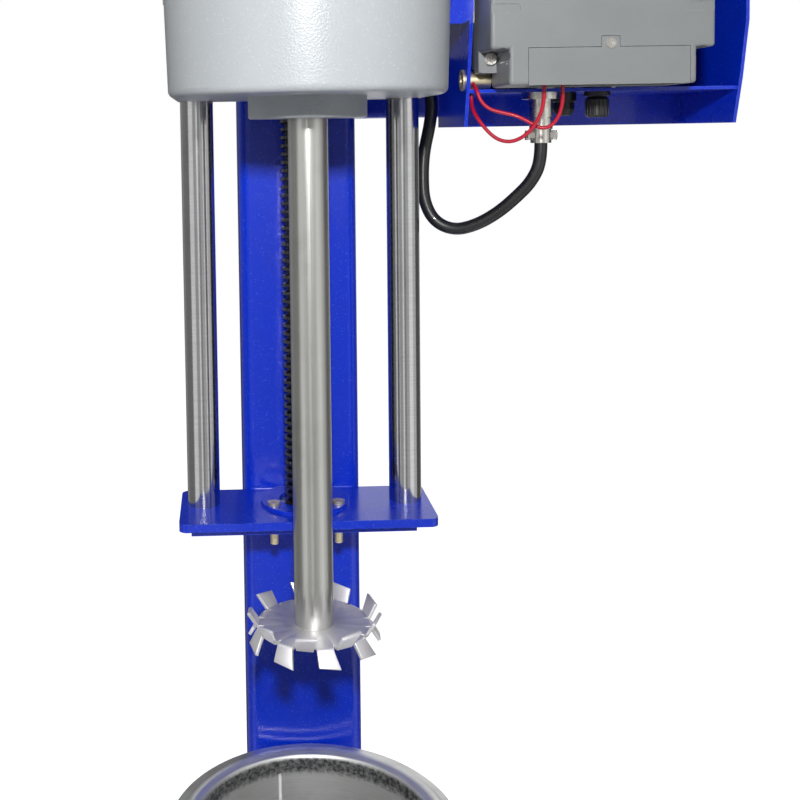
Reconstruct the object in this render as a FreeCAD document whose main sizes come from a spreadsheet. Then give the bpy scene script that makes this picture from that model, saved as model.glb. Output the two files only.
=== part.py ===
import FreeCAD, Part
import math
import os
import re
import Sketcher
from FreeCAD import Placement, Rotation, Vector

# Bench fiber disperser. X runs to the right, Y away from the operator, Z up.
# The origin is on the underside of the base plate, below the middle of the two guide rods.

SIZES = {
    # base plate and bench holes
    "base_width": 340,
    "base_front": 195,
    "base_rear": 145,
    "base_thick": 20,
    "base_corner": 18,
    "base_edge": 2.5,
    "bench_hole_radius": 5.5,
    "bench_hole_inset": 20,
    # column, a square tube on a welded foot
    "column_side": 75,
    "column_wall": 4,
    "column_corner": 7,
    "column_front": 24.6,
    "column_over_bracket": 2,
    "foot_overhang": 28,
    "foot_front_overhang": 8,
    "foot_thick": 10,
    "foot_bolt_radius": 5,
    "foot_bolt_inset": 13,
    "foot_bolt_depth": 16,
    "hex_head_ratio": 1.9,
    "hex_height_ratio": 1.35,
    "cap_thick": 3,
    "cap_plug_depth": 12,
    "cap_play": 0.2,
    # mixing vessel
    "vessel_height": 160,
    "vessel_reach": 62,
    "vessel_shift": 1.5,
    "vessel_bore": 70,
    "vessel_wall": 2,
    "vessel_floor": 3,
    "rim_radius": 85.2,
    "rim_thick": 4,
    "rim_bead_radius": 76,
    "rim_bead_rise": 2,
    # brackets that hold the rods and the lead screw
    "plate_above_rim": 167.5,
    "bracket_width": 154.2,
    "bracket_front": 36.4,
    "bracket_thick": 5,
    "bracket_corner": 5,
    "doubler_width": 135,
    "doubler_shift": 2.5,
    "doubler_front": 28.5,
    "doubler_thick": 5,
    "head_room": 20.2,
    "rod_spacing": 125.6,
    "rod_radius": 10,
    "end_bolt_radius": 4,
    "end_bolt_depth": 20,
    "washer_thick": 1.6,
    "washer_radius": 8.5,
    # lead screw and its two bearing flanges
    "screw_radius": 12.4,
    "journal_radius": 7.5,
    "run_play": 0.05,
    "flange_radius": 27.5,
    "flange_gap": 0.5,
    "flange_thick": 2,
    "spigot_radius": 19,
    "spigot_depth": 10,
    "lip_thick": 0.8,
    "lip_radius": 13,
    "screw_bearing_radius": 16,
    "screw_bearing_height": 9,
    "end_play": 0.3,
    "flange_bolt_circle": 22.8,
    "flange_screw_radius": 2.5,
    "flange_screw_length": 24,
    "flange_screw_head_radius": 3.9,
    "flange_screw_head": 2,
    "driver_slot": 0.9,
    "driver_cross": 0.8,
    # handwheel on top of the lead screw
    "hub_radius": 15,
    "hub_height": 25,
    "hub_gap": 3,
    "hub_bore": 6,
    "wheel_radius": 60,
    "wheel_rim": 7,
    "wheel_rise": 14,
    "spoke_radius": 5,
    "wheel_nut_radius": 8.5,
    "wheel_nut_height": 8,
    "wheel_stub_radius": 5,
    "wheel_stub_over": 3,
    "grip_stud_radius": 4,
    "grip_stud_head": 6.5,
    "grip_length": 52,
    "grip_radius": 9.5,
    "grip_waist": 7.5,
    "grip_lift": 9,
    # head casting, a half round front with straight sides behind
    "head_height": 249.2,
    "shaft_reach": 60.5,
    "head_side": 14,
    "head_rear": 20.5,
    "casting_height": 55.2,
    "casting_draft": 0.029,
    "casting_wall": 7,
    "casting_deck": 12,
    "casting_edge": 4,
    "boss_radius": 33,
    "boss_drop": 12.1,
    "boss_edge": 1.5,
    "tower_radius": 32,
    "tower_gap": 5,
    "bush_radius": 11.5,
    "bush_wall": 4,
    "bush_play": 0.05,
    "nut_radius": 19,
    "nut_boss_radius": 27,
    "nut_boss_height": 42,
    "nut_flange_radius": 26,
    "nut_flange_thick": 6,
    "nut_flange_flat": 22,
    "nut_flange_gap": 1,
    "nut_bolt_circle": 22.5,
    "nut_play": 0.1,
    "lug_radius": 8,
    "lug_circle": 63,
    "rear_lug_x": 36,
    "rear_lug_y": 7,
    # spindle, its bearings and seal
    "shaft_radius": 11.15,
    "spindle_journal": 10,
    "spindle_bearing_radius": 23.5,
    "spindle_bearing_height": 14,
    "lower_bearing_rise": 8.5,
    "bearing_spread": 20,
    "bearing_cap_thick": 4,
    "bearing_cap_circle": 27.7,
    "seal_radius": 17.5,
    "seal_height": 7,
    "seal_recess": 1,
    "motor_shaft_radius": 7,
    "shaft_socket_depth": 32,
    "disc_bolt_radius": 4,
    "disc_bolt_depth": 22,
    "disc_seat_radius": 8,
    # toothed disc
    "disc_drop": 49.3,
    "disc_radius": 32.2,
    "disc_thick": 2,
    "disc_play": 0.6,
    "tooth_pairs": 9,
    "tooth_phase": -14,
    "tooth_root": 9.4,
    "tooth_flare": 2.6,
    "tooth_length": 8.6,
    "tooth_skew": 1.9,
    "tooth_splay": 31,
    "tooth_sweep": 3,
    "notch_width": 1.4,
    "notch_depth": 3.4,
    # motor and its plate
    "motor_plate_thick": 8,
    "motor_plate_inset": 4.4,
    "rod_hole_gap": 2,
    "screw_hole_gap": 1.6,
    "motor_radius": 45,
    "motor_length": 145,
    "motor_end_thick": 10,
    "stator_bore": 31,
    "rotor_radius": 30,
    "rotor_length": 96,
    "motor_spigot": 25,
    "motor_spigot_depth": 5,
    "motor_bearing_radius": 15,
    "motor_bearing_height": 9,
    "motor_bolt_circle": 39,
    "fin_slots": 18,
    "fin_slot_width": 4,
    "fin_slot_depth": 5,
    "fin_slot_start": 4,
    "fin_slot_end": 8,
    "bell_thick": 10,
    "fan_radius": 36,
    "fan_height": 12,
    "fan_hub": 11,
    "fan_blades": 7,
    "fan_blade_thick": 2,
    "fan_gap": 2,
    "cowl_height": 28,
    "cowl_wall": 1.5,
    "cowl_holes": 10,
    "cowl_hole_radius": 4,
    # motor cover
    "cover_height": 203,
    "cover_wall": 2.5,
    "cover_seam": 0.4,
    "cover_corner": 10,
    "cover_notch": 20.5,
    "cover_screw_rear": 25,
    "cover_vent_width": 4,
    "cover_vent_pitch": 11,
    "cover_vents": 7,
    "cap_screw_radius": 2.5,
    "cap_screw_head_radius": 4.25,
    "cap_screw_head": 5,
    "cap_screw_depth": 10,
    # cable bracket on the motor plate
    "tab_thick": 3,
    "tab_beside_rod": 21.3,
    "tab_foot_width": 9,
    "tab_foot_front": 8,
    "tab_width": 35.5,
    "tab_rear": 46,
    "tab_gap": 1,
    "gland_beside_rod": 3.2,
    "gland_y": 33,
    "gland_radius": 9,
    "gland_length": 22,
    "gland_thread": 6,
    "thread_over_nut": 1,
    # arm and control box
    "bar_side": 40,
    "bar_wall": 3,
    "bar_corner": 4,
    "bar_height": 238,
    "bar_end": 252,
    "box_left": 97,
    "box_right": 261,
    "box_bottom": 231,
    "box_over_drive": 15,
    "box_sheet": 2,
    "box_floor": 251,
    "box_floor_front": 22,
    "box_front_low": 17.5,
    "box_front_mid": 25.7,
    "box_front_high": 33,
    "box_knee_low": 27,
    "box_knee_high": 60,
    "ear_width": 15,
    "ear_height": 290.7,
    "ear_corner": 8,
    "box_bolt_radius": 3,
    "box_bolt_inset": 42,
    "box_bolt_head": 5.5,
    "box_bolt_head_height": 4,
    "box_bolt_over": 6,
    # speed controller
    "drive_centre": 164.6,
    "drive_width": 125.4,
    "drive_low_width": 104.8,
    "drive_front": 63,
    "drive_depth": 41,
    "drive_bottom": 253.5,
    "drive_step": 273.5,
    "drive_top": 425,
    "drive_wall": 3,
    "drive_corner": 2,
    "slab_bottom": 262,
    "slab_thick": 12,
    "ear_hole_x": 56.1,
    "ear_hole_low": 270,
    "ear_hole_drop": 8,
    "scallop_radius": 8,
    "ear_relief": 4.4,
    "latch_bottom": 293.5,
    "latch_length": 14,
    "latch_height": 5,
    "latch_depth": 0.6,
    "chassis_plate": 4,
    "chassis_bottom": 265,
    "sink_width": 97,
    "sink_bottom": 292,
    "sink_plate": 12,
    "sink_slots": 11,
    "sink_slot_width": 3.5,
    "sink_slot_pitch": 7,
    "sink_hole_inset": 6,
    "sink_hole_drop": 13,
    "drive_screw_radius": 2,
    "drive_screw_head_radius": 3.6,
    "drive_screw_head": 2.2,
    "drive_screw_depth": 8,
    "chassis_screw_depth": 5,
    "wiring_cover_left": 41.7,
    "wiring_cover_right": 48.5,
    "wiring_cover_top": 274,
    "wiring_cover_thick": 2.5,
    "wiring_cover_gap": 0.3,
    "wiring_tab_x": 4,
    "wiring_tab_half": 5,
    "wiring_tab_top": 280,
    "shell_lap": 20,
    "wiring_screw_height": 276.1,
    "wiring_room_inset": 4,
    "wiring_room_front": 2,
    "wiring_room_roof": 3,
    "terminal_height": 6,
    "terminal_front": 4,
    "terminal_depth": 17,
    "keypad_width": 66,
    "keypad_drop": 15,
    "keypad_height": 94,
    "keypad_thick": 2,
    "window_width": 46,
    "window_height": 18,
    "window_drop": 6,
    "window_thick": 0.6,
    "key_width": 14,
    "key_height": 9,
    "key_proud": 1.5,
    "key_gap": 0.3,
    "key_travel": 1,
    "key_row_high": 38,
    "key_row_middle": 62,
    "key_row_low": 80,
    "knob_radius": 10,
    "knob_length": 13,
    "knob_rise": 16,
    "knob_skirt": 2,
    "knob_edge": 1,
    "knob_stem": 3,
    "knob_stem_depth": 5,
    "knob_flutes": 16,
    "knob_flute_radius": 1,
    # sockets under the box floor
    "socket_x": 145.3,
    "socket_y": -10,
    "socket_ring": 11.3,
    "socket_ring_thick": 4,
    "socket_neck": 7.4,
    "socket_rise": 9,
    "socket_nut": 10.5,
    "panel_nut_thick": 3,
    "plug_radius": 7.2,
    "plug_ring_length": 10.7,
    "plug_tail_radius": 6.9,
    "plug_tail_length": 7.3,
    "plug_groove": 0.8,
    "plug_groove_depth": 1,
    "clamp_radius": 6.2,
    "clamp_length": 8.3,
    "clamp_ear_length": 18,
    "clamp_ear_width": 8,
    "clamp_ear_thick": 3.2,
    "clamp_ear_drop": 2,
    "clamp_screw_radius": 1.9,
    "clamp_screw_inset": 1.2,
    "clamp_screw_proud": 1.3,
    "fuse_x": 179.5,
    "fuse_y": -10,
    "fuse_radius": 6,
    "fuse_rise": 22,
    "fuse_flange_radius": 7.6,
    "fuse_flange_thick": 2.5,
    "fuse_cap_radius": 7,
    "fuse_cap_length": 12.6,
    "fuse_cap_edge": 1.5,
    "fuse_cap_shoulder": 2,
    "fuse_ribs": 18,
    "fuse_rib_radius": 0.6,
    "fuse_rib_stop": 2.5,
    "lead_gland_x": 163,
    "lead_gland_y": 2,
    "lead_gland_radius": 7.5,
    "lead_gland_thread": 5,
    "lead_gland_length": 14,
    "lead_gland_dome": 10,
    "lead_gland_waist": 6,
    "lead_gland_flange": 5,
    "lead_gland_rise": 7,
    "wall_bush_y": -14,
    "wall_bush_height": 258.8,
    "wall_bush_radius": 5.3,
    "wall_bush_bore": 3.2,
    "wall_bush_head": 1,
    "wall_bush_lip": 1,
    "wall_bush_neck": 1,
    "wall_bush_length": 16,
    "wire_hole_radius": 2.4,
    "wire_hole_x": 102.2,
    # cords
    "cable_radius": 3.9,
    "wire_radius": 1.1,
}

doc = FreeCAD.newDocument("FiberDisperser")
sheet = doc.addObject("Spreadsheet::Sheet", "Sizes")
for row, (alias, value) in enumerate(SIZES.items(), 1):
    sheet.set(f"A{row}", alias)
    sheet.set(f"B{row}", str(value))
    sheet.setAlias(f"B{row}", alias)
doc.recompute()

ALIAS = re.compile(r"\b(" + "|".join(sorted(SIZES, key=len, reverse=True)) + r")\b")
NODES = {}

# Levels and planes that many pieces share, written in terms of the sheet's sizes.
DECK = "(base_thick + vessel_height + plate_above_rim)"
ROD_SPAN = "(head_height + casting_height + cover_seam + cover_height + head_room)"
TOP = f"({DECK} + {ROD_SPAN})"
HEAD = f"({DECK} + head_height)"
SEAM = f"({HEAD} + casting_height)"
MOTOR = f"({SEAM} + motor_plate_thick)"
FLOOR = f"({DECK} + box_floor)"
BOX_BACK = "(column_front + column_side - bar_side)"
BOX_TOP = "(drive_top + box_over_drive)"
EAR_HOLE_HIGH = "(drive_top - ear_hole_drop)"
KEYPAD_TOP = "(drive_top - keypad_drop)"
KEYPAD_BOTTOM = f"({KEYPAD_TOP} - keypad_height)"
LOW_BEARING = f"({HEAD} - boss_drop + lower_bearing_rise)"
HIGH_BEARING = f"({LOW_BEARING} + spindle_bearing_height + bearing_spread)"
TOWER_TOP = f"({HIGH_BEARING} + spindle_bearing_height + bearing_cap_thick)"
HEAD_RADIUS = "(rod_spacing / 2 + head_side)"
HEAD_TOP_RADIUS = f"({HEAD_RADIUS} + casting_draft * casting_height)"
COVER_RADIUS = HEAD_TOP_RADIUS
PLATE_RADIUS = f"({COVER_RADIUS} - motor_plate_inset)"
SHAFT = "(-shaft_reach)"

ALONG = {
    "z": Rotation(),
    "-z": Rotation(Vector(1, 0, 0), 180),
    "x": Rotation(Vector(0, 1, 0), 90),
    "-x": Rotation(Vector(0, 1, 0), -90),
    "y": Rotation(Vector(1, 0, 0), -90),
    "-y": Rotation(Vector(1, 0, 0), 90),
}


def tie(item, prop, text):
    """Bind one property to an expression of the sheet's sizes."""
    item.setExpression(prop, ALIAS.sub(r"Sizes.\1", str(text)))


def place(item, x="0", y="0", z="0", turn=None):
    """Give an object its place, bound to the sheet, and its turn."""
    item.Placement = Placement(Vector(0, 0, 0), turn or Rotation())
    tie(item, "Placement.Base.x", x)
    tie(item, "Placement.Base.y", y)
    tie(item, "Placement.Base.z", z)
    return item


def keep(node, item):
    """Name the object that is one node of the part."""
    item.Label = node
    NODES[node] = item
    return item


def block(wide, deep, tall, x="0", y="0", z="0"):
    """Box whose lowest corner is at the place given."""
    item = doc.addObject("Part::Box", "block")
    tie(item, "Length", wide)
    tie(item, "Width", deep)
    tie(item, "Height", tall)
    return place(item, x, y, z)


def rod(radius, length, x="0", y="0", z="0", along="z"):
    """Cylinder from the place given, in the direction given."""
    item = doc.addObject("Part::Cylinder", "rod")
    tie(item, "Radius", radius)
    tie(item, "Height", length)
    return place(item, x, y, z, ALONG[along])


def hexagon(across, length, x="0", y="0", z="0", along="z"):
    """Hexagonal prism, across is its corner radius."""
    item = doc.addObject("Part::Prism", "hexagon")
    item.Polygon = 6
    tie(item, "Circumradius", across)
    tie(item, "Height", length)
    return place(item, x, y, z, ALONG[along])


def cone(low, high, tall, x="0", y="0", z="0"):
    """Cone frustum standing on its first radius."""
    item = doc.addObject("Part::Cone", "cone")
    tie(item, "Radius1", low)
    tie(item, "Radius2", high)
    tie(item, "Height", tall)
    return place(item, x, y, z)


def join(*items):
    """One solid out of several that touch or overlap."""
    item = doc.addObject("Part::MultiFuse", "join")
    item.Shapes = list(items)
    item.Refine = True
    return item


def cut(base, *tools):
    """The base with every tool taken away."""
    item = doc.addObject("Part::Cut", "cut")
    item.Base = base
    item.Tool = tools[0] if len(tools) == 1 else group(*tools)
    return item


def group(*items):
    """Separate solids kept together."""
    item = doc.addObject("Part::Compound", "group")
    item.Links = list(items)
    return item


def rounded(base, radius, chosen):
    """The base with the chosen edges rounded."""
    doc.recompute()
    item = doc.addObject("Part::Fillet", "rounded")
    item.Base = base
    item.Edges = [(i + 1, radius, radius) for i, edge in enumerate(base.Shape.Edges) if chosen(edge)]
    return item


def runs_along(edge, axis):
    """Whether a straight edge runs along the axis given."""
    if not isinstance(edge.Curve, Part.Line):
        return False
    return abs(abs(edge.Curve.Direction.dot(axis)) - 1) < 1e-6


def tube_block(wide, deep, tall, radius, wall, x, y, z, axis):
    """Rectangular tube with rounded outer corners, open along the axis."""
    outer = rounded(block(wide, deep, tall, x, y, z), SIZES[radius], lambda edge: runs_along(edge, axis))
    lap = [wall if value == 0 else "0" for value in axis]
    inner = block(*[f"({size}) - 2 * ({gap})" for size, gap in zip((wide, deep, tall), lap)],
                  *[f"({start}) + ({gap})" for start, gap in zip((x, y, z), lap)])
    return cut(outer, inner)


def body(x="0", y="0", z="0", turn=None):
    """Empty design body at its place."""
    item = doc.addObject("PartDesign::Body", "body")
    return place(item, x, y, z, turn)


def sketch(owner, role, offset="0", turn=None):
    """Empty sketch on one of the body's own planes."""
    item = owner.newObject("Sketcher::SketchObject", "sketch")
    plane = [one for one in owner.Origin.OriginFeatures if one.Role == role][0]
    item.AttachmentSupport = [(plane, "")]
    item.MapMode = "FlatFace"
    item.AttachmentOffset = Placement(Vector(0, 0, 0), turn or Rotation())
    tie(item, "AttachmentOffset.Base.z", offset)
    return item


def pin(item, geometry, point, x, y):
    """Hold one point of a sketch at a bound place."""
    for kind, text in (("DistanceX", x), ("DistanceY", y)):
        index = item.addConstraint(Sketcher.Constraint(kind, -1, 1, geometry, point, 10.0))
        tie(item, f"Constraints[{index}]", text)


def outline(item, points):
    """Closed outline through bound points."""
    count = len(points)
    corners = [Vector(90 + 40 * math.cos(2 * math.pi * i / count), 40 * math.sin(2 * math.pi * i / count), 0)
               for i in range(count)]
    lines = [item.addGeometry(Part.LineSegment(corners[i], corners[(i + 1) % count]), False)
             for i in range(count)]
    for i in range(count):
        item.addConstraint(Sketcher.Constraint("Coincident", lines[i], 2, lines[(i + 1) % count], 1))
    for line, (x, y) in zip(lines, points):
        pin(item, line, 1, x, y)
    return item


def circle(item, radius, x="0", y="0"):
    """Circle with a bound centre and radius."""
    ring = item.addGeometry(Part.Circle(Vector(5, 5, 0), Vector(0, 0, 1), 4), False)
    pin(item, ring, 3, x, y)
    index = item.addConstraint(Sketcher.Constraint("Radius", ring, 4.0))
    tie(item, f"Constraints[{index}]", radius)
    return item


def pad(owner, profile, length, backwards=False):
    """Material along the sketch's normal."""
    item = owner.newObject("PartDesign::Pad", "pad")
    item.Profile = profile
    tie(item, "Length", length)
    item.Reversed = backwards
    doc.recompute()
    return item


def pocket(owner, profile, length, backwards=False):
    """Material taken away, with a look at volume and faces so that it really cuts."""
    before = owner.Shape.Volume
    faces = len(owner.Shape.Faces)
    item = owner.newObject("PartDesign::Pocket", "pocket")
    item.Profile = profile
    tie(item, "Length", length)
    item.Reversed = backwards
    doc.recompute()
    if owner.Shape.Volume > before - 1e-3 and len(owner.Shape.Faces) == faces:
        raise ValueError(f"{owner.Label}: a pocket cuts nothing")
    return item


def turned(owner, points):
    """Body of revolution about its own Z axis."""
    profile = outline(sketch(owner, "XZ_Plane"), points)
    item = owner.newObject("PartDesign::Revolution", "turned")
    item.Profile = profile
    item.ReferenceAxis = (profile, ["V_Axis"])
    item.Angle = 360
    doc.recompute()
    return item


def around(owner, features, profile, count):
    """Repeat features evenly about the body's Z axis."""
    item = owner.newObject("PartDesign::PolarPattern", "around")
    item.Originals = features
    item.Axis = (profile, ["N_Axis"])
    item.Angle = 360
    tie(item, "Occurrences", count)
    owner.Tip = item
    doc.recompute()
    return item


def round_body(owner, radius, chosen):
    """Round the chosen edges of a design body."""
    doc.recompute()
    tip = owner.Tip
    names = [f"Edge{i + 1}" for i, edge in enumerate(tip.Shape.Edges) if chosen(edge)]
    item = owner.newObject("PartDesign::Fillet", "round")
    item.Base = (tip, names)
    tie(item, "Radius", radius)
    doc.recompute()
    return item


def bolt(radius, length, head_radius, head_height, x, y, z, along, hexed=False):
    """Bolt whose head's underside is at the place given and whose shank runs along the direction."""
    back = {"z": "-z", "-z": "z", "x": "-x", "-x": "x", "y": "-y", "-y": "y"}[along]
    shank = rod(radius, length, x, y, z, along)
    make = hexagon if hexed else rod
    return join(shank, make(head_radius, head_height, x, y, z, back))


def slotted_screw(radius, length, head_radius, head_height, x, y, z):
    """Cheese head screw that points down, with a slot across its head."""
    head = bolt(radius, length, head_radius, head_height, x, y, z, "-z")
    slot = block(f"2 * {head_radius}", "driver_slot", head_height, f"({x}) - {head_radius}",
                 f"({y}) - driver_slot / 2", f"({z}) + {head_height} / 2")
    return cut(head, slot)


def cross_screw(radius, length, head_radius, head_height, x, y, z):
    """Pan head screw that points back along +Y, with a crossed recess."""
    head = bolt(radius, length, head_radius, head_height, x, y, z, "y")
    arm = f"{head_radius} * 1.1"
    flat = block(arm, head_height, "driver_cross", f"({x}) - {arm} / 2", f"({y}) - 1.6 * {head_height}",
                 f"({z}) - driver_cross / 2")
    tall = block("driver_cross", head_height, arm, f"({x}) - driver_cross / 2",
                 f"({y}) - 1.6 * {head_height}",
                 f"({z}) - {arm} / 2")
    return cut(head, flat, tall)


# Base plate with its four bench holes.
BASE_MIDDLE = "((base_rear - base_front) / 2)"
base = body()
base_sketch = outline(sketch(base, "XY_Plane"), [
    ("-base_width / 2", "-base_front"), ("base_width / 2", "-base_front"),
    ("base_width / 2", "base_rear"), ("-base_width / 2", "base_rear")])
pad(base, base_sketch, "base_thick")
round_body(base, "base_corner", lambda edge: runs_along(edge, Vector(0, 0, 1)))
round_body(base, "base_edge", lambda edge: abs(edge.BoundBox.ZMin - SIZES["base_thick"]) < 1e-6)
for side in (-1, 1):
    for y in ("-base_front + bench_hole_inset", "base_rear - bench_hole_inset"):
        hole = circle(sketch(base, "XY_Plane"), "bench_hole_radius",
                      f"{side} * (base_width / 2 - bench_hole_inset)", y)
        pocket(base, hole, "base_thick", True)
FOOT_BOLT_X = "(column_side / 2 + foot_overhang - foot_bolt_inset)"
FOOT_BOLT_YS = ("(column_front - foot_front_overhang + foot_bolt_inset)",
                "(column_front + column_side + foot_overhang - foot_bolt_inset)")
for side in (-1, 1):
    for y in FOOT_BOLT_YS:
        hole = circle(sketch(base, "XY_Plane", "base_thick"), "foot_bolt_radius", f"{side} * {FOOT_BOLT_X}",
                      y)
        pocket(base, hole, "foot_bolt_depth")
keep("base_plate", base)

# Column with its foot, its bolts and its end cap.
COLUMN_LOW = "(base_thick + foot_thick)"
COLUMN_TOP = f"({TOP} + column_over_bracket)"
column_tube = tube_block("column_side", "column_side", f"{COLUMN_TOP} - {COLUMN_LOW}", "column_corner",
                         "column_wall", "-column_side / 2", "column_front", COLUMN_LOW, Vector(0, 0, 1))
foot = rounded(block("column_side + 2 * foot_overhang", "column_side + foot_overhang + foot_front_overhang",
                     "foot_thick", "-column_side / 2 - foot_overhang", "column_front - foot_front_overhang",
                     "base_thick"),
               SIZES["column_corner"], lambda edge: runs_along(edge, Vector(0, 0, 1)))
foot_holes = []
foot_bolts = []
for side in (-1, 1):
    for y in FOOT_BOLT_YS:
        x = f"{side} * {FOOT_BOLT_X}"
        foot_holes.append(rod("foot_bolt_radius", "foot_thick", x, y, "base_thick"))
        foot_bolts.append(bolt("foot_bolt_radius", "foot_thick + foot_bolt_depth",
                               "foot_bolt_radius * hex_head_ratio",
                               "foot_bolt_radius * hex_height_ratio", x, y, COLUMN_LOW, "-z", True))
keep("column", join(column_tube, cut(foot, *foot_holes)))
keep("column_bolts", group(*foot_bolts))
cap_lid = rounded(block("column_side", "column_side", "cap_thick", "-column_side / 2", "column_front",
                        COLUMN_TOP),
                  SIZES["column_corner"], lambda edge: runs_along(edge, Vector(0, 0, 1)))
CAP_INSET = "(column_wall + cap_play)"
cap_plug = block(f"column_side - 2 * {CAP_INSET}", f"column_side - 2 * {CAP_INSET}", "cap_plug_depth",
                 f"-column_side / 2 + {CAP_INSET}", f"column_front + {CAP_INSET}",
                 f"{COLUMN_TOP} - cap_plug_depth")
keep("column_cap", join(cap_lid, cap_plug))

# Loose stainless vessel with a flat flange and a raised bead round its mouth.
vessel = body("-vessel_shift", "-vessel_reach", "base_thick")
turned(vessel, [
    ("0", "0"), ("vessel_bore + vessel_wall", "0"),
    ("vessel_bore + vessel_wall", "vessel_height - rim_bead_rise - rim_thick"),
    ("rim_radius", "vessel_height - rim_bead_rise - rim_thick"),
    ("rim_radius", "vessel_height - rim_bead_rise"),
    ("rim_bead_radius + rim_bead_rise", "vessel_height - rim_bead_rise"),
    ("rim_bead_radius", "vessel_height"), ("vessel_bore + rim_bead_rise", "vessel_height"),
    ("vessel_bore", "vessel_height - rim_bead_rise"), ("vessel_bore", "vessel_floor"), ("0", "vessel_floor")])
keep("vessel", vessel)

# Lower and upper brackets, welded to the column's front, and the doubler below the lower one.


def flange_screw_places():
    """The places of a bearing flange's screws, in front of the lead screw."""
    return [(f"flange_bolt_circle * cos({angle})", f"flange_bolt_circle * sin({angle})")
            for angle in (-30, 210)]


def bracket(level, name):
    """Bracket plate whose top is at the level."""
    item = body("0", "0", f"{level} - bracket_thick")
    shape = outline(sketch(item, "XY_Plane"), [
        ("-bracket_width / 2", "-bracket_front"), ("bracket_width / 2", "-bracket_front"),
        ("bracket_width / 2", "column_front"), ("-bracket_width / 2", "column_front")])
    pad(item, shape, "bracket_thick")
    round_body(item, "bracket_corner", lambda edge: runs_along(edge, Vector(0, 0, 1)))
    holes = sketch(item, "XY_Plane")
    circle(holes, "rod_radius", "-rod_spacing / 2")
    circle(holes, "rod_radius", "rod_spacing / 2")
    circle(holes, "spigot_radius")
    for x, y in flange_screw_places():
        circle(holes, "flange_screw_radius", x, y)
    pocket(item, holes, "bracket_thick", True)
    return keep(name, item)


bracket(DECK, "lower_bracket")
bracket(TOP, "upper_bracket")
doubler = body("0", "0", f"{DECK} - bracket_thick - doubler_thick")
doubler_sketch = outline(sketch(doubler, "XY_Plane"), [
    ("-doubler_width / 2 - doubler_shift", "-doubler_front"),
    ("doubler_width / 2 - doubler_shift", "-doubler_front"),
    ("doubler_width / 2 - doubler_shift", "column_front"),
    ("-doubler_width / 2 - doubler_shift", "column_front")])
pad(doubler, doubler_sketch, "doubler_thick")
doubler_holes = sketch(doubler, "XY_Plane")
circle(doubler_holes, "end_bolt_radius", "-rod_spacing / 2")
circle(doubler_holes, "end_bolt_radius", "rod_spacing / 2")
circle(doubler_holes, "spigot_radius")
for x, y in flange_screw_places():
    circle(doubler_holes, "flange_screw_radius", x, y)
pocket(doubler, doubler_holes, "doubler_thick", True)
keep("lower_doubler", doubler)

# Guide rods with a bolt and a washer at each end.
rods = []
rod_bolts = []
for side in (-1, 1):
    x = f"{side} * rod_spacing / 2"
    low = f"{DECK} - bracket_thick"
    shaft = rod("rod_radius", f"{TOP} - ({low})", x, "0", low)
    low_hole = rod("end_bolt_radius", "end_bolt_depth", x, "0", low)
    high_hole = rod("end_bolt_radius", "end_bolt_depth", x, "0", f"{TOP} - end_bolt_depth")
    rods.append(cut(shaft, low_hole, high_hole))
    under = f"{low} - doubler_thick - washer_thick"
    rod_bolts.append(join(
        bolt("end_bolt_radius", "end_bolt_depth + doubler_thick + washer_thick",
             "end_bolt_radius * hex_head_ratio",
             "end_bolt_radius * hex_height_ratio", x, "0", under, "z", True),
        rod("washer_radius", "washer_thick", x, "0", under)))
    rod_bolts.append(join(
        bolt("end_bolt_radius", "end_bolt_depth + washer_thick", "end_bolt_radius * hex_head_ratio",
             "end_bolt_radius * hex_height_ratio", x, "0", f"{TOP} + washer_thick", "-z", True),
        rod("washer_radius + rod_radius / 2", "washer_thick", x, "0", TOP)))
keep("guide_rods", group(*rods))
keep("guide_rod_bolts", group(*rod_bolts))

# Bearing flanges of the lead screw, their bearings and their slotted screws.
flanges = []
screw_bearings = []
flange_screws = []
for level in (DECK, TOP):
    flange = body("0", "0", level)
    turned(flange, [
        ("screw_bearing_radius", "flange_thick"), ("screw_bearing_radius", "-spigot_depth + lip_thick"),
        ("lip_radius", "-spigot_depth + lip_thick"), ("lip_radius", "-spigot_depth"),
        ("spigot_radius", "-spigot_depth"), ("spigot_radius", "0"), ("flange_radius", "0"),
        ("flange_radius", "flange_thick")])
    holes = sketch(flange, "XY_Plane")
    for x, y in flange_screw_places():
        circle(holes, "flange_screw_radius", x, y)
        flange_screws.append(slotted_screw("flange_screw_radius", "flange_screw_length",
                                           "flange_screw_head_radius",
                                           "flange_screw_head", x, y, f"{level} + flange_thick"))
    pocket(flange, holes, "flange_thick", True)
    flat = outline(sketch(flange, "XY_Plane"), [
        ("-flange_radius", "column_front - flange_gap"), ("flange_radius", "column_front - flange_gap"),
        ("flange_radius", "flange_radius + 1"), ("-flange_radius", "flange_radius + 1")])
    pocket(flange, flat, "flange_thick", True)
    flanges.append(flange)
    ring = rod("screw_bearing_radius", "screw_bearing_height", "0", "0",
               f"{level} - spigot_depth + lip_thick")
    bore = rod("journal_radius", "screw_bearing_height", "0", "0", f"{level} - spigot_depth + lip_thick")
    screw_bearings.append(cut(ring, bore))
keep("bearing_flanges", group(*flanges))
keep("screw_bearings", group(*screw_bearings))
keep("flange_screws", group(*flange_screws))

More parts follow.
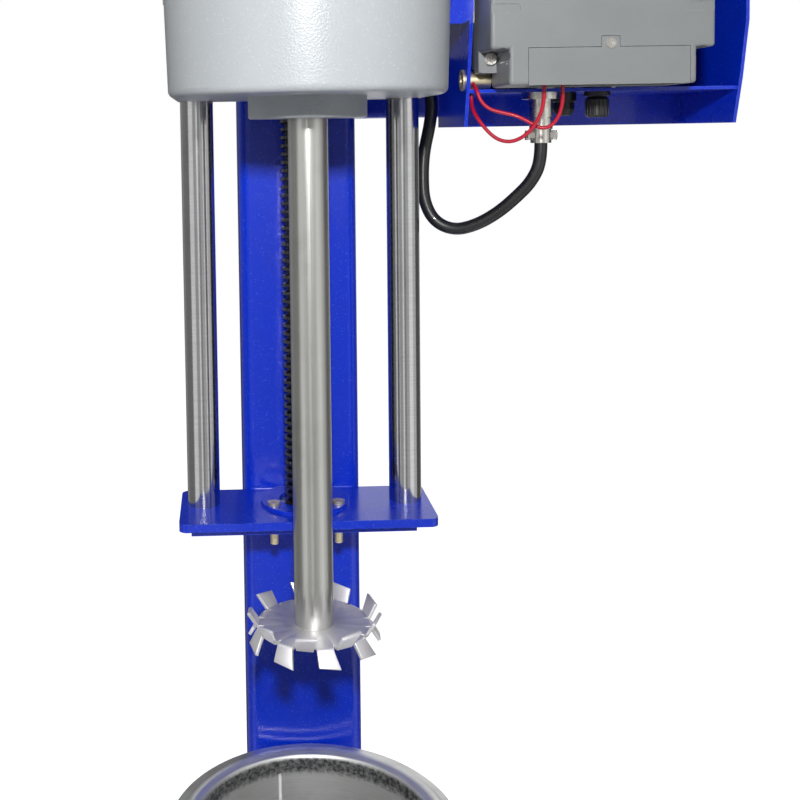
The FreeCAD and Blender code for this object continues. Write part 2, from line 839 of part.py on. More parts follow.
# Lead screw, plain at its thread's outside diameter, with journals and a stub for the handwheel.
screw_turned = "(journal_radius - run_play)"
shoulder = "(-spigot_depth + lip_thick + screw_bearing_height + end_play)"
upper_seat = f"({ROD_SPAN} - spigot_depth + lip_thick - end_play)"
hub_low = f"({ROD_SPAN} + cap_thick + column_over_bracket + hub_gap)"
nut_low = f"({hub_low} + hub_height)"
lead_screw = body("0", "0", DECK)
turned(lead_screw, [
    ("0", "-spigot_depth"), (screw_turned, "-spigot_depth"), (screw_turned, shoulder),
    ("screw_radius", shoulder), ("screw_radius", upper_seat), (screw_turned, upper_seat),
    (screw_turned, hub_low), ("hub_bore", hub_low), ("hub_bore", nut_low), ("wheel_stub_radius", nut_low),
    ("wheel_stub_radius", f"{nut_low} + wheel_nut_height + wheel_stub_over"),
    ("0", f"{nut_low} + wheel_nut_height + wheel_stub_over")])
keep("lead_screw", lead_screw)

# Handwheel with three spokes, its nut, the grip's stud and the loose grip.
HUB = f"({DECK} + {hub_low})"
WHEEL = f"({HUB} + wheel_rise)"
rim = doc.addObject("Part::Torus", "rim")
tie(rim, "Radius1", "wheel_radius")
tie(rim, "Radius2", "wheel_rim")
place(rim, "0", "0", WHEEL)
wheel_parts = [rod("hub_radius", "hub_height", "0", "0", HUB), rim]
for angle in (30, 150, 270):
    spoke = rod("spoke_radius", "wheel_radius", "0", "0", WHEEL, "x")
    spoke.Placement = Placement(Vector(0, 0, 0), Rotation(Vector(0, 0, 1), angle).multiply(ALONG["x"]))
    tie(spoke, "Placement.Base.z", WHEEL)
    wheel_parts.append(spoke)
GRIP_Y = "(-wheel_radius)"
wheel_parts.append(rod("grip_lift", "wheel_rim + 1", "0", GRIP_Y, WHEEL))
GRIP = f"({WHEEL} + wheel_rim + 1)"
stud_top = f"({GRIP} + 2 * end_play + grip_length)"
wheel_parts.append(rod("grip_stud_radius", f"{stud_top} - {WHEEL}", "0", GRIP_Y, WHEEL))
wheel_parts.append(rod("grip_stud_head", "grip_stud_radius", "0", GRIP_Y, stud_top))
keep("handwheel", cut(join(*wheel_parts), rod("hub_bore", "hub_height", "0", "0", HUB)))
keep("handwheel_nut", cut(hexagon("wheel_nut_radius", "wheel_nut_height", "0", "0", f"{DECK} + {nut_low}"),
                          rod("wheel_stub_radius", "wheel_nut_height", "0", "0", f"{DECK} + {nut_low}")))
grip = body("0", GRIP_Y, f"{GRIP} + end_play")
turned(grip, [
    ("grip_stud_radius + run_play", "0"), ("grip_waist", "0"), ("grip_radius", "grip_length * 0.25"),
    ("grip_radius", "grip_length * 0.6"), ("grip_waist", "grip_length"),
    ("grip_stud_radius + run_play", "grip_length")])
keep("handwheel_grip", grip)

# Head casting. Its sides and front lean out by the draft, its pan is open at the top.


def head_form(low, high, tall, rear, level):
    """Half round front with straight sides behind, from the low radius to the high one."""
    front = cone(low, high, tall, "0", "-shaft_reach", level)
    sides = doc.addObject("Part::Wedge", "sides")
    for prop, text in (("Xmin", f"-({low})"), ("Xmax", low), ("X2min", f"-({high})"), ("X2max", high),
                       ("Ymin", "0"), ("Ymax", tall), ("Zmin", "0"), ("Zmax", f"shaft_reach + {rear}"),
                       ("Z2min", "0"), ("Z2max", f"shaft_reach + {rear}")):
        tie(sides, prop, text)
    place(sides, "0", rear, level, ALONG["-y"])
    return join(front, sides)


head_outer = head_form(HEAD_RADIUS, HEAD_TOP_RADIUS, "casting_height", "head_rear", HEAD)
head_edges = rounded(head_outer, SIZES["casting_edge"],
                     lambda edge: edge.BoundBox.ZMax < head_outer.Shape.BoundBox.ZMin + 1e-4)
DECK_RADIUS = f"({HEAD_RADIUS} - casting_wall + casting_draft * casting_deck)"
cavity = head_form(DECK_RADIUS, f"({HEAD_TOP_RADIUS} - casting_wall)", "casting_height - casting_deck",
                   "(head_rear - casting_wall)", f"({HEAD} + casting_deck)")
pan = cut(head_edges, cavity)
lugs = []
lug_places = []
for angle in (225, 315):
    lug_places.append((f"lug_circle * cos({angle})", f"{SHAFT} + lug_circle * sin({angle})"))
for side in (-1, 1):
    lug_places.append((f"{side} * rear_lug_x", "rear_lug_y"))
for x, y in lug_places:
    lugs.append(rod("lug_radius", "casting_height", x, y, HEAD))
bosses = [rod("tower_radius", f"{TOWER_TOP} - bearing_cap_thick - {HEAD}", "0", SHAFT, HEAD),
          rod("nut_boss_radius", "nut_boss_height", "0", "0", HEAD)]
for side in (-1, 1):
    bosses.append(rod("bush_radius + bush_wall", "casting_height", f"{side} * rod_spacing / 2", "0", HEAD))
inner = doc.addObject("Part::MultiCommon", "inner")
inner.Shapes = [join(*bosses, *lugs), head_edges]
boss_rod = rod("boss_radius", "boss_drop + casting_deck / 2", "0", SHAFT, f"{HEAD} - boss_drop")
low_boss = rounded(boss_rod, SIZES["boss_edge"], lambda edge: isinstance(edge.Curve, Part.Circle)
                   and edge.BoundBox.ZMax < boss_rod.Shape.BoundBox.ZMin + 1e-4)
bores = [rod("seal_radius", "lower_bearing_rise", "0", SHAFT, f"{HEAD} - boss_drop"),
         rod("spindle_bearing_radius", f"{SEAM} - {LOW_BEARING}", "0", SHAFT, LOW_BEARING),
         rod("nut_radius", "casting_height", "0", "0", HEAD),
         rod("nut_flange_radius + nut_flange_gap", "casting_height - nut_boss_height", "0", "0",
             f"{HEAD} + nut_boss_height")]
for side in (-1, 1):
    bores.append(rod("bush_radius", "casting_height", f"{side} * rod_spacing / 2", "0", HEAD))
for x, y in lug_places:
    bores.append(rod("cap_screw_radius", "cap_screw_depth", x, y, f"{SEAM} - cap_screw_depth"))
screw_heads = []
for angle in (45, 135, 225, 315):
    x = f"bearing_cap_circle * cos({angle})"
    y = f"{SHAFT} + bearing_cap_circle * sin({angle})"
    bores.append(rod("cap_screw_radius", "cap_screw_depth", x, y,
                     f"{TOWER_TOP} - bearing_cap_thick - cap_screw_depth"))
    screw_heads.append((x, y, TOWER_TOP, "bearing_cap_thick + cap_screw_depth"))
    x = f"nut_bolt_circle * cos({angle})"
    y = f"nut_bolt_circle * sin({angle})"
    bores.append(rod("cap_screw_radius", "cap_screw_depth", x, y,
                     f"{HEAD} + nut_boss_height - cap_screw_depth"))
    screw_heads.append((x, y, f"({HEAD} + nut_boss_height + nut_flange_thick)",
                        "nut_flange_thick + cap_screw_depth"))
keep("head_casting", cut(join(pan, inner, low_boss), *bores))

# Bronze guide bushes and the flanged lead nut.
bushes = []
for side in (-1, 1):
    x = f"{side} * rod_spacing / 2"
    bushes.append(cut(rod("bush_radius", "casting_height", x, "0", HEAD),
                      rod("rod_radius + bush_play", "casting_height", x, "0", HEAD)))
keep("guide_bushes", group(*bushes))
nut = body("0", "0", HEAD)
turned(nut, [
    ("screw_radius + nut_play", "0"), ("nut_radius", "0"), ("nut_radius", "nut_boss_height"),
    ("nut_flange_radius", "nut_boss_height"), ("nut_flange_radius", "nut_boss_height + nut_flange_thick"),
    ("screw_radius + nut_play", "nut_boss_height + nut_flange_thick")])
nut_holes = sketch(nut, "XY_Plane", "nut_boss_height")
for angle in (45, 135, 225, 315):
    circle(nut_holes, "cap_screw_radius", f"nut_bolt_circle * cos({angle})",
           f"nut_bolt_circle * sin({angle})")
pocket(nut, nut_holes, "nut_flange_thick", True)
nut_flat = outline(sketch(nut, "XY_Plane", "nut_boss_height"), [
    ("-nut_flange_radius", "nut_flange_flat"), ("nut_flange_radius", "nut_flange_flat"),
    ("nut_flange_radius", "nut_flange_radius + 1"), ("-nut_flange_radius", "nut_flange_radius + 1")])
pocket(nut, nut_flat, "nut_flange_thick", True)
keep("lead_nut", nut)

# Spindle bearings with the sleeve between them, shaft seal and bearing cap.
head_bearings = []
for level in (LOW_BEARING, HIGH_BEARING):
    head_bearings.append(cut(rod("spindle_bearing_radius", "spindle_bearing_height", "0", SHAFT, level),
                        rod("spindle_journal", "spindle_bearing_height", "0", SHAFT, level)))
sleeve_low = f"({LOW_BEARING} + spindle_bearing_height)"
keep("bearing_sleeve", cut(rod("spindle_bearing_radius", "bearing_spread", "0", SHAFT, sleeve_low),
                           rod("spindle_bearing_radius - 3", "bearing_spread", "0", SHAFT, sleeve_low)))
seal_level = f"({HEAD} - boss_drop + seal_recess)"
keep("shaft_seal", cut(rod("seal_radius", "seal_height", "0", SHAFT, seal_level),
                       rod("shaft_radius + run_play", "seal_height", "0", SHAFT, seal_level)))
cap_ring = rod("tower_radius", "bearing_cap_thick", "0", SHAFT, f"{TOWER_TOP} - bearing_cap_thick")
cap_holes = [rod("spindle_journal + 2", "bearing_cap_thick", "0", SHAFT, f"{TOWER_TOP} - bearing_cap_thick")]
for angle in (45, 135, 225, 315):
    cap_holes.append(rod("cap_screw_radius", "bearing_cap_thick", f"bearing_cap_circle * cos({angle})",
                         f"{SHAFT} + bearing_cap_circle * sin({angle})", f"{TOWER_TOP} - bearing_cap_thick"))
keep("bearing_cap", cut(cap_ring, *cap_holes))

# Motor plate on top of the casting.


def plan_form(radius, rear, tall, level):
    """Half round front with straight sides behind, of one radius."""
    front = rod(radius, tall, "0", SHAFT, level)
    sides = block(f"2 * ({radius})", f"shaft_reach + ({rear})", tall, f"-({radius})", SHAFT, level)
    return join(front, sides)


plate = plan_form(PLATE_RADIUS, "(head_rear - motor_plate_inset)", "motor_plate_thick", SEAM)
plate_holes = [rod("screw_radius + screw_hole_gap", "motor_plate_thick", "0", "0", SEAM),
               rod("motor_spigot", "motor_plate_thick", "0", SHAFT, SEAM)]
for side in (-1, 1):
    plate_holes.append(rod("rod_radius + rod_hole_gap", "motor_plate_thick", f"{side} * rod_spacing / 2", "0",
                           SEAM))
for x, y in lug_places:
    plate_holes.append(rod("cap_screw_radius", "motor_plate_thick", x, y, SEAM))
    screw_heads.append((x, y, MOTOR, "motor_plate_thick + cap_screw_depth"))
COVER_SCREW_Z = f"({SEAM} + motor_plate_thick / 2)"
cover_screw_ys = (SHAFT, "(-cover_screw_rear)")
cover_screws = []
for side, along in ((-1, "x"), (1, "-x")):
    for y in cover_screw_ys:
        start = f"{side} * {COVER_RADIUS}"
        plate_holes.append(rod("drive_screw_radius", "motor_plate_inset + drive_screw_depth", start, y,
                               COVER_SCREW_Z, along))
        cover_screws.append(bolt("drive_screw_radius", "motor_plate_inset + drive_screw_depth",
                                 "drive_screw_head_radius", "drive_screw_head", start, y, COVER_SCREW_Z,
                                 along))
for angle in (45, 135, 225, 315):
    plate_holes.append(rod("cap_screw_radius", "motor_plate_thick", f"motor_bolt_circle * cos({angle})",
                           f"{SHAFT} + motor_bolt_circle * sin({angle})", SEAM))
TAB_LEFT = "(rod_spacing / 2 - tab_beside_rod)"
GLAND_X = "(rod_spacing / 2 + gland_beside_rod)"
TAB_SCREW = (f"{TAB_LEFT} + tab_foot_width / 2", "-tab_foot_front / 2")
plate_holes.append(rod("cap_screw_radius", "motor_plate_thick", *TAB_SCREW, SEAM))
keep("motor_plate", cut(plate, *plate_holes))

# Motor: housing with cooling slots, end bell, rotor, bearings, fan and cowl.
motor = body("0", SHAFT, MOTOR)
MB = "motor_bearing_height"
turned(motor, [
    ("motor_shaft_radius + 1", "-motor_spigot_depth"), ("motor_spigot", "-motor_spigot_depth"),
    ("motor_spigot", "0"), ("motor_radius", "0"), ("motor_radius", "motor_length"),
    ("stator_bore", "motor_length"), ("stator_bore", "motor_end_thick"),
    ("motor_bearing_radius", "motor_end_thick"), ("motor_bearing_radius", f"motor_end_thick - {MB}"),
    ("motor_shaft_radius + 1", f"motor_end_thick - {MB}")])
slot_sketch = outline(sketch(motor, "XY_Plane", "motor_end_thick + fin_slot_start"), [
    ("motor_radius - fin_slot_depth", "-fin_slot_width / 2"), ("motor_radius + 1", "-fin_slot_width / 2"),
    ("motor_radius + 1", "fin_slot_width / 2"), ("motor_radius - fin_slot_depth", "fin_slot_width / 2")])
slot = pocket(motor, slot_sketch, "motor_length - motor_end_thick - fin_slot_start - fin_slot_end", True)
around(motor, [slot], slot_sketch, "fin_slots")
bolt_sketch = sketch(motor, "XY_Plane")
for angle in (45, 135, 225, 315):
    circle(bolt_sketch, "cap_screw_radius", f"motor_bolt_circle * cos({angle})",
           f"motor_bolt_circle * sin({angle})")
pocket(motor, bolt_sketch, "motor_end_thick - 1", True)
motor_bolts = []
for angle in (45, 135, 225, 315):
    motor_bolts.append(bolt("cap_screw_radius", "motor_plate_thick + motor_end_thick - 1",
                            "cap_screw_head_radius",
                            "cap_screw_head", f"motor_bolt_circle * cos({angle})",
                            f"{SHAFT} + motor_bolt_circle * sin({angle})", SEAM, "z"))
BELL = f"({MOTOR} + motor_length)"
bell = body("0", SHAFT, BELL)
turned(bell, [
    ("motor_shaft_radius + 1", "bell_thick"), ("motor_shaft_radius + 1", MB),
    ("motor_bearing_radius", MB), ("motor_bearing_radius", "0"), ("motor_radius", "0"),
    ("motor_radius", "bell_thick")])
keep("motor_housing", group(motor, bell))
for level in (f"({MOTOR} + motor_end_thick - {MB})", BELL):
    head_bearings.append(cut(rod("motor_bearing_radius", MB, "0", SHAFT, level),
                              rod("motor_shaft_radius + run_play", MB, "0", SHAFT, level)))
keep("head_bearings", group(*head_bearings))
FAN = f"({BELL} + bell_thick + fan_gap)"
SPINDLE_TOP = f"({TOWER_TOP} + 1)"
rotor = body("0", SHAFT, "0")
core_low = f"({MOTOR} + motor_end_thick + (motor_length - motor_end_thick - rotor_length) / 2)"
turned(rotor, [
    ("0", f"{SPINDLE_TOP} - shaft_socket_depth"), ("motor_shaft_radius",
                                                   f"{SPINDLE_TOP} - shaft_socket_depth"),
    ("motor_shaft_radius", core_low), ("rotor_radius", core_low),
    ("rotor_radius", f"{core_low} + rotor_length"),
    ("motor_shaft_radius", f"{core_low} + rotor_length"), ("motor_shaft_radius", f"{FAN} + fan_height"),
    ("0", f"{FAN} + fan_height")])
keep("motor_rotor", rotor)
fan_parts = [rod("fan_hub", "fan_height", "0", SHAFT, FAN)]
for index in range(SIZES["fan_blades"]):
    angle = 360 * index / SIZES["fan_blades"]
    blade = block("fan_radius", "fan_blade_thick", "fan_height - 2 * fan_blade_thick", "0", SHAFT,
                  f"{FAN} + fan_blade_thick")
    blade.Placement = Placement(Vector(0, 0, 0), Rotation(Vector(0, 0, 1), angle))
    tie(blade, "Placement.Base.y", SHAFT)
    tie(blade, "Placement.Base.z", f"{FAN} + fan_blade_thick")
    fan_parts.append(blade)
keep("motor_fan", cut(join(*fan_parts), rod("motor_shaft_radius", "fan_height", "0", SHAFT, FAN)))
COWL = f"({BELL} + bell_thick)"
cowl = cut(rod("motor_radius", "cowl_height", "0", SHAFT, COWL),
           rod("motor_radius - cowl_wall", "cowl_height - cowl_wall", "0", SHAFT, COWL))
cowl_holes = []
for index in range(SIZES["cowl_holes"]):
    angle = 360 * index / SIZES["cowl_holes"]
    for ring in ("fan_radius * 0.4", "fan_radius * 0.75"):
        cowl_holes.append(rod("cowl_hole_radius", "cowl_wall", f"{ring} * cos({angle})",
                              f"{SHAFT} + {ring} * sin({angle})", f"{COWL} + cowl_height - cowl_wall"))
keep("motor_fan_cowl", cut(cowl, *cowl_holes))

# Motor cover. Its roof stops in front of the rods and the lead screw, its back is open.
COVER_LOW = f"({SEAM} + cover_seam)"
cover_outer_raw = plan_form(COVER_RADIUS, "head_rear", "cover_height", COVER_LOW)
cover_outer = rounded(cover_outer_raw, SIZES["cover_corner"],
                      lambda edge: edge.BoundBox.ZMin > cover_outer_raw.Shape.BoundBox.ZMax - 1e-4
                      and edge.BoundBox.YMin < SIZES["head_rear"] - 1e-3)
COVER_INNER = f"({COVER_RADIUS} - cover_wall)"
cover_hollow_raw = plan_form(COVER_INNER, "head_rear", "cover_height - cover_wall", COVER_LOW)
cover_hollow = rounded(cover_hollow_raw, SIZES["cover_corner"] - SIZES["cover_wall"],
                       lambda edge: edge.BoundBox.ZMin > cover_hollow_raw.Shape.BoundBox.ZMax - 1e-4
                       and edge.BoundBox.YMin < SIZES["head_rear"] - 1e-3)
cover_back = block(f"2 * {COVER_INNER}", "cover_notch + head_rear", "cover_height", f"-{COVER_INNER}",
                   "-cover_notch",
                   f"{COVER_LOW}")
cover_tools = [cover_hollow, cover_back]
for index in range(SIZES["cover_vents"]):
    shift = index - (SIZES["cover_vents"] - 1) / 2
    cover_tools.append(block("motor_radius", "cover_vent_width", "cover_wall * 2", "-motor_radius / 2",
                             f"{SHAFT} + cover_vent_pitch * {shift} - cover_vent_width / 2",
                             f"{COVER_LOW} + cover_height - cover_wall * 1.5"))
for side, along in ((-1, "x"), (1, "-x")):
    for y in cover_screw_ys:
        cover_tools.append(rod("drive_screw_radius", "motor_plate_inset", f"{side} * {COVER_RADIUS}", y,
                               COVER_SCREW_Z, along))
keep("motor_cover", cut(cover_outer, *cover_tools))

# Cable bracket behind the right rod, with the motor cable's gland hanging from it.
tab_foot = block("tab_foot_width", "tab_foot_front + tab_rear", "tab_thick", TAB_LEFT, "-tab_foot_front",
                 MOTOR)
tab_arm_y = "(head_rear + tab_gap)"
tab_arm = block("tab_width", f"tab_rear - {tab_arm_y}", "tab_thick", TAB_LEFT, tab_arm_y, MOTOR)
keep("cable_bracket", cut(join(tab_foot, tab_arm),
                          rod("gland_thread", "tab_thick", GLAND_X, "gland_y", MOTOR),
                          rod("cap_screw_radius", "tab_thick", *TAB_SCREW, MOTOR)))
screw_heads.append((*TAB_SCREW, f"({MOTOR} + tab_thick)", "motor_plate_thick + tab_thick"))
gland = body(GLAND_X, "gland_y", MOTOR)
turned(gland, [
    ("0", "-gland_length"), ("gland_radius * 0.7", "-gland_length"), ("gland_radius", "-gland_length * 0.75"),
    ("gland_radius", "0"), ("gland_thread", "0"), ("gland_thread",
                                                   "tab_thick + panel_nut_thick + thread_over_nut"),
    ("0", "tab_thick + panel_nut_thick + thread_over_nut")])
gland_nut = cut(hexagon("gland_radius", "panel_nut_thick", GLAND_X, "gland_y", f"({MOTOR} + tab_thick)"),
                rod("gland_thread", "panel_nut_thick", GLAND_X, "gland_y", f"({MOTOR} + tab_thick)"))
keep("motor_cable_gland", group(gland, gland_nut))

# Socket head screws of the head.
screws = []
for x, y, level, length in screw_heads:
    screws.append(bolt("cap_screw_radius", length, "cap_screw_head_radius", "cap_screw_head", x, y, level,
                       "-z"))
keep("head_screws", group(*screws, *motor_bolts, *cover_screws))

# Spindle, which takes the motor's shaft in its top and the disc on its foot.
spindle = body("0", SHAFT, "0")
DISC = f"({DECK} - disc_drop)"
journal = "(spindle_journal - run_play)"
turned(spindle, [
    ("0", f"{DISC} + disc_bolt_depth"), ("disc_bolt_radius", f"{DISC} + disc_bolt_depth"),
    ("disc_bolt_radius", f"{DISC} - disc_thick"), ("disc_seat_radius", f"{DISC} - disc_thick"),
    ("disc_seat_radius", DISC), ("shaft_radius", DISC), ("shaft_radius", f"{LOW_BEARING} - end_play"),
    (journal, f"{LOW_BEARING} - end_play"), (journal, SPINDLE_TOP), ("motor_shaft_radius", SPINDLE_TOP),
    ("motor_shaft_radius", f"{SPINDLE_TOP} - shaft_socket_depth"),
    ("0", f"{SPINDLE_TOP} - shaft_socket_depth")])
keep("spindle", spindle)
keep("disc_bolt", join(
    bolt("disc_bolt_radius", "disc_bolt_depth + disc_thick + washer_thick",
         "disc_bolt_radius * hex_head_ratio",
         "disc_bolt_radius * hex_height_ratio", "0", SHAFT, f"{DISC} - disc_thick - washer_thick", "z", True),
    rod("disc_seat_radius * 1.6", "washer_thick", "0", SHAFT, f"{DISC} - disc_thick - washer_thick")))

# Toothed disc. Its teeth are bent up and down by turns and splay outwards. Each is wider and longer on one
# side, with a notch between neighbours.
disc = body("0", SHAFT, f"{DISC} - disc_thick", Rotation(Vector(0, 0, 1), SIZES["tooth_phase"]))
disc_sketch = sketch(disc, "XY_Plane")
circle(disc_sketch, "disc_radius - disc_play")
circle(disc_sketch, "disc_seat_radius")
pad(disc, disc_sketch, "disc_thick")
half_step = 180 / SIZES["tooth_pairs"]
ROOT_RISE = f"disc_thick * {math.tan(math.radians(SIZES['tooth_splay']))}"
ROOT_SHIFT = f"disc_thick * {math.sin(math.radians(SIZES['tooth_splay']))}"
for start, side, root, reach, bend in (
        (0, "", ROOT_RISE, "(disc_radius - disc_thick)", "disc_thick"),
        (half_step, "-", f"disc_thick - {ROOT_RISE}", f"(disc_radius - disc_thick + {ROOT_SHIFT})", "0")):
    turn = math.radians(start)
    upright = Rotation(Vector(0, 1, 0), start + SIZES["tooth_sweep"])
    splay = Rotation(Vector(1, 0, 0), SIZES["tooth_splay"] if start == 0 else -SIZES["tooth_splay"])
    tooth_sketch = sketch(disc, "XZ_Plane", turn=upright.multiply(splay))
    tie(tooth_sketch, "AttachmentOffset.Base.x", f"{reach} * {math.sin(turn)}")
    tie(tooth_sketch, "AttachmentOffset.Base.z", f"{reach} * {math.cos(turn)}")
    outline(tooth_sketch, [
        ("-tooth_root / 2", root), ("tooth_root / 2", root),
        ("tooth_root / 2 + tooth_flare", f"{bend} + {side}(tooth_length + tooth_skew)"),
        ("-tooth_root / 2", f"{bend} + {side}tooth_length")])
    tooth = pad(disc, tooth_sketch, "disc_thick")
    around(disc, [tooth], disc_sketch, "tooth_pairs")
middle = math.radians(half_step / 2)
notch_sketch = sketch(disc, "XY_Plane")
notch_corners = []
for reach, side in (("(disc_radius - notch_depth)", -1), ("(disc_radius + disc_thick)", -1),
                    ("(disc_radius + disc_thick)", 1), ("(disc_radius - notch_depth)", 1)):
    notch_corners.append((f"{reach} * {math.sin(middle)} + {side} * notch_width / 2 * {math.cos(middle)}",
                          f"-{reach} * {math.cos(middle)} + {side} * notch_width / 2 * {math.sin(middle)}"))
outline(notch_sketch, notch_corners)
notch = pocket(disc, notch_sketch, "disc_thick", True)
around(disc, [notch], notch_sketch, "2 * tooth_pairs")
keep("disperser_disc", disc)

# Arm from the column to the control box.
BAR = f"({DECK} + bar_height)"
bar = tube_block("bar_end - column_side / 2", "bar_side", "bar_side", "bar_corner", "bar_wall",
                 "column_side / 2", BOX_BACK, BAR, Vector(1, 0, 0))
BOX_BOLT_Z = f"({BAR} + bar_side / 2)"
bar_holes = []
box_bolts = []
for x in ("box_left + box_bolt_inset", "bar_end - box_bolt_inset"):
    bar_holes.append(rod("box_bolt_radius", "bar_wall", x, BOX_BACK, BOX_BOLT_Z, "y"))
    box_bolts.append(bolt("box_bolt_radius", "box_sheet + bar_wall + box_bolt_over", "box_bolt_head",
                          "box_bolt_head_height",
                          x, f"{BOX_BACK} - box_sheet", BOX_BOLT_Z, "y", True))
keep("support_bar", cut(bar, *bar_holes))
keep("box_bolts", group(*box_bolts))

# Control box, a folded sheet open to the front, with its floor above its bottom edges.
box = body("box_left", "0", DECK)
ear = outline(sketch(box, "XZ_Plane", "box_front_high"), [
    ("-ear_width", "ear_height"), ("box_sheet", "ear_height"), ("box_sheet", BOX_TOP),
    ("-ear_width", BOX_TOP)])
pad(box, ear, "box_sheet")
round_body(box, "ear_corner", lambda edge: runs_along(edge, Vector(0, 1, 0))
           and abs(edge.BoundBox.ZMin - SIZES["ear_height"]) < 1e-3 and edge.BoundBox.XMin > 0)
side_points = [
    (BOX_BACK, "box_bottom"), (BOX_BACK, BOX_TOP), ("-box_front_high", BOX_TOP),
    ("-box_front_high", "box_bottom + box_knee_high"), ("-box_front_mid", "box_bottom + box_knee_low"),
    ("-box_front_low", "box_bottom")]
pad(box, outline(sketch(box, "YZ_Plane"), side_points), "box_right - box_left")
INSIDE = "(box_right - box_left - 2 * box_sheet)"
room = outline(sketch(box, "YZ_Plane", "box_sheet"), [
    (f"{BOX_BACK} - box_sheet", "box_floor + box_sheet"),
    (f"{BOX_BACK} - box_sheet", f"{BOX_TOP} - box_sheet"),
    ("-2 * box_front_high", f"{BOX_TOP} - box_sheet"), ("-2 * box_front_high", "box_floor + box_sheet")])
pocket(box, room, INSIDE, True)
below = outline(sketch(box, "YZ_Plane", "box_sheet"), [
    (f"{BOX_BACK} - box_sheet", "box_bottom - box_sheet"), (f"{BOX_BACK} - box_sheet", "box_floor"),
    ("-2 * box_front_high", "box_floor"), ("-2 * box_front_high", "box_bottom - box_sheet")])
pocket(box, below, INSIDE, True)
front_cut = outline(sketch(box, "YZ_Plane", "box_sheet"), [
    ("-box_floor_front", "box_floor - box_sheet"), ("-box_floor_front", "box_floor + 2 * box_sheet"),
    ("-2 * box_front_high", "box_floor + 2 * box_sheet"), ("-2 * box_front_high", "box_floor - box_sheet")])
pocket(box, front_cut, INSIDE, True)
floor_holes = sketch(box, "XY_Plane", "box_floor")
circle(floor_holes, "socket_neck", "socket_x - box_left", "socket_y")
circle(floor_holes, "fuse_radius", "fuse_x - box_left", "fuse_y")
circle(floor_holes, "lead_gland_thread", "lead_gland_x - box_left", "lead_gland_y")
circle(floor_holes, "wire_hole_radius", "wire_hole_x - box_left", "wall_bush_y")
pocket(box, floor_holes, "box_sheet", True)
wall_holes = sketch(box, "YZ_Plane")
circle(wall_holes, "wall_bush_radius - wall_bush_neck", "wall_bush_y", "wall_bush_height")
pocket(box, wall_holes, "box_sheet", True)
back_holes = sketch(box, "XZ_Plane", f"-{BOX_BACK}")
for x in ("box_bolt_inset", "bar_end - box_bolt_inset - box_left"):
    circle(back_holes, "box_bolt_radius", x, "bar_height + bar_side / 2")
SINK_HOLE_X = "(sink_width / 2 - sink_hole_inset)"
for side in (-1, 1):
    for z in ("sink_bottom + sink_hole_drop", "drive_top - sink_hole_drop"):
        circle(back_holes, "drive_screw_radius", f"drive_centre - box_left + {side} * {SINK_HOLE_X}", z)
pocket(box, back_holes, "box_sheet", True)
keep("control_box", box)

# Speed controller: front shell, heat sink, wiring cover and screws.
DRIVE_LEFT = "(drive_centre - drive_width / 2)"
shell_top = rounded(block("drive_width", "drive_depth", "drive_top - drive_step", DRIVE_LEFT, "-drive_front",
                          f"{DECK} + drive_step"), SIZES["drive_corner"], lambda edge: True)
shell_low = rounded(block("drive_low_width", "drive_depth", "drive_step + shell_lap - drive_bottom",
                          "drive_centre - drive_low_width / 2", "-drive_front", f"{DECK} + drive_bottom"),
                    SIZES["drive_corner"], lambda edge: True)
SLAB_FRONT = "(slab_thick - drive_front + drive_depth - 2 * slab_thick)"
slab = rounded(block("drive_width", "slab_thick", "drive_step + shell_lap - slab_bottom", DRIVE_LEFT,
                     SLAB_FRONT,
                     f"{DECK} + slab_bottom"), SIZES["drive_corner"],
                     lambda edge: runs_along(edge, Vector(0, 1, 0)))
SINK_FRONT = "(drive_depth - drive_front)"
KNOB_X = "(drive_centre + keypad_width / 4)"
KNOB_Z = f"({DECK} + {KEYPAD_BOTTOM} + knob_rise)"
shell_tools = [
    block("sink_width - 2 * drive_wall", "drive_depth - drive_wall",
          "drive_top - sink_bottom - 2 * drive_wall",
          "drive_centre - sink_width / 2 + drive_wall", "drive_wall - drive_front",
          f"{DECK} + sink_bottom + drive_wall"),
    block("wiring_cover_left + wiring_cover_right - 2 * wiring_room_inset",
          "drive_depth - slab_thick - 2 * wiring_room_front",
          "wiring_cover_top - drive_bottom - wiring_room_roof",
          "drive_centre - wiring_cover_left + wiring_room_inset", "wiring_room_front - drive_front",
          f"{DECK} + drive_bottom"),
    block("wiring_cover_left + wiring_cover_right + 2 * wiring_cover_gap", "wiring_cover_thick",
          "wiring_cover_top - drive_bottom + wiring_cover_gap",
          "drive_centre - wiring_cover_left - wiring_cover_gap", "-drive_front", f"{DECK} + drive_bottom"),
    block("2 * wiring_tab_half + 2 * wiring_cover_gap", "wiring_cover_thick",
          "wiring_tab_top - wiring_cover_top + wiring_cover_gap",
          "drive_centre + wiring_tab_x - wiring_tab_half - wiring_cover_gap", "-drive_front",
          f"{DECK} + wiring_cover_top"),
    rod("drive_screw_radius", "drive_screw_depth", "drive_centre + wiring_tab_x", "-drive_front",
        f"{DECK} + wiring_screw_height", "y"),
    rod("knob_stem + run_play", "knob_stem_depth + end_play", KNOB_X, "-drive_front", KNOB_Z, "y"),
]
drive_screws = []
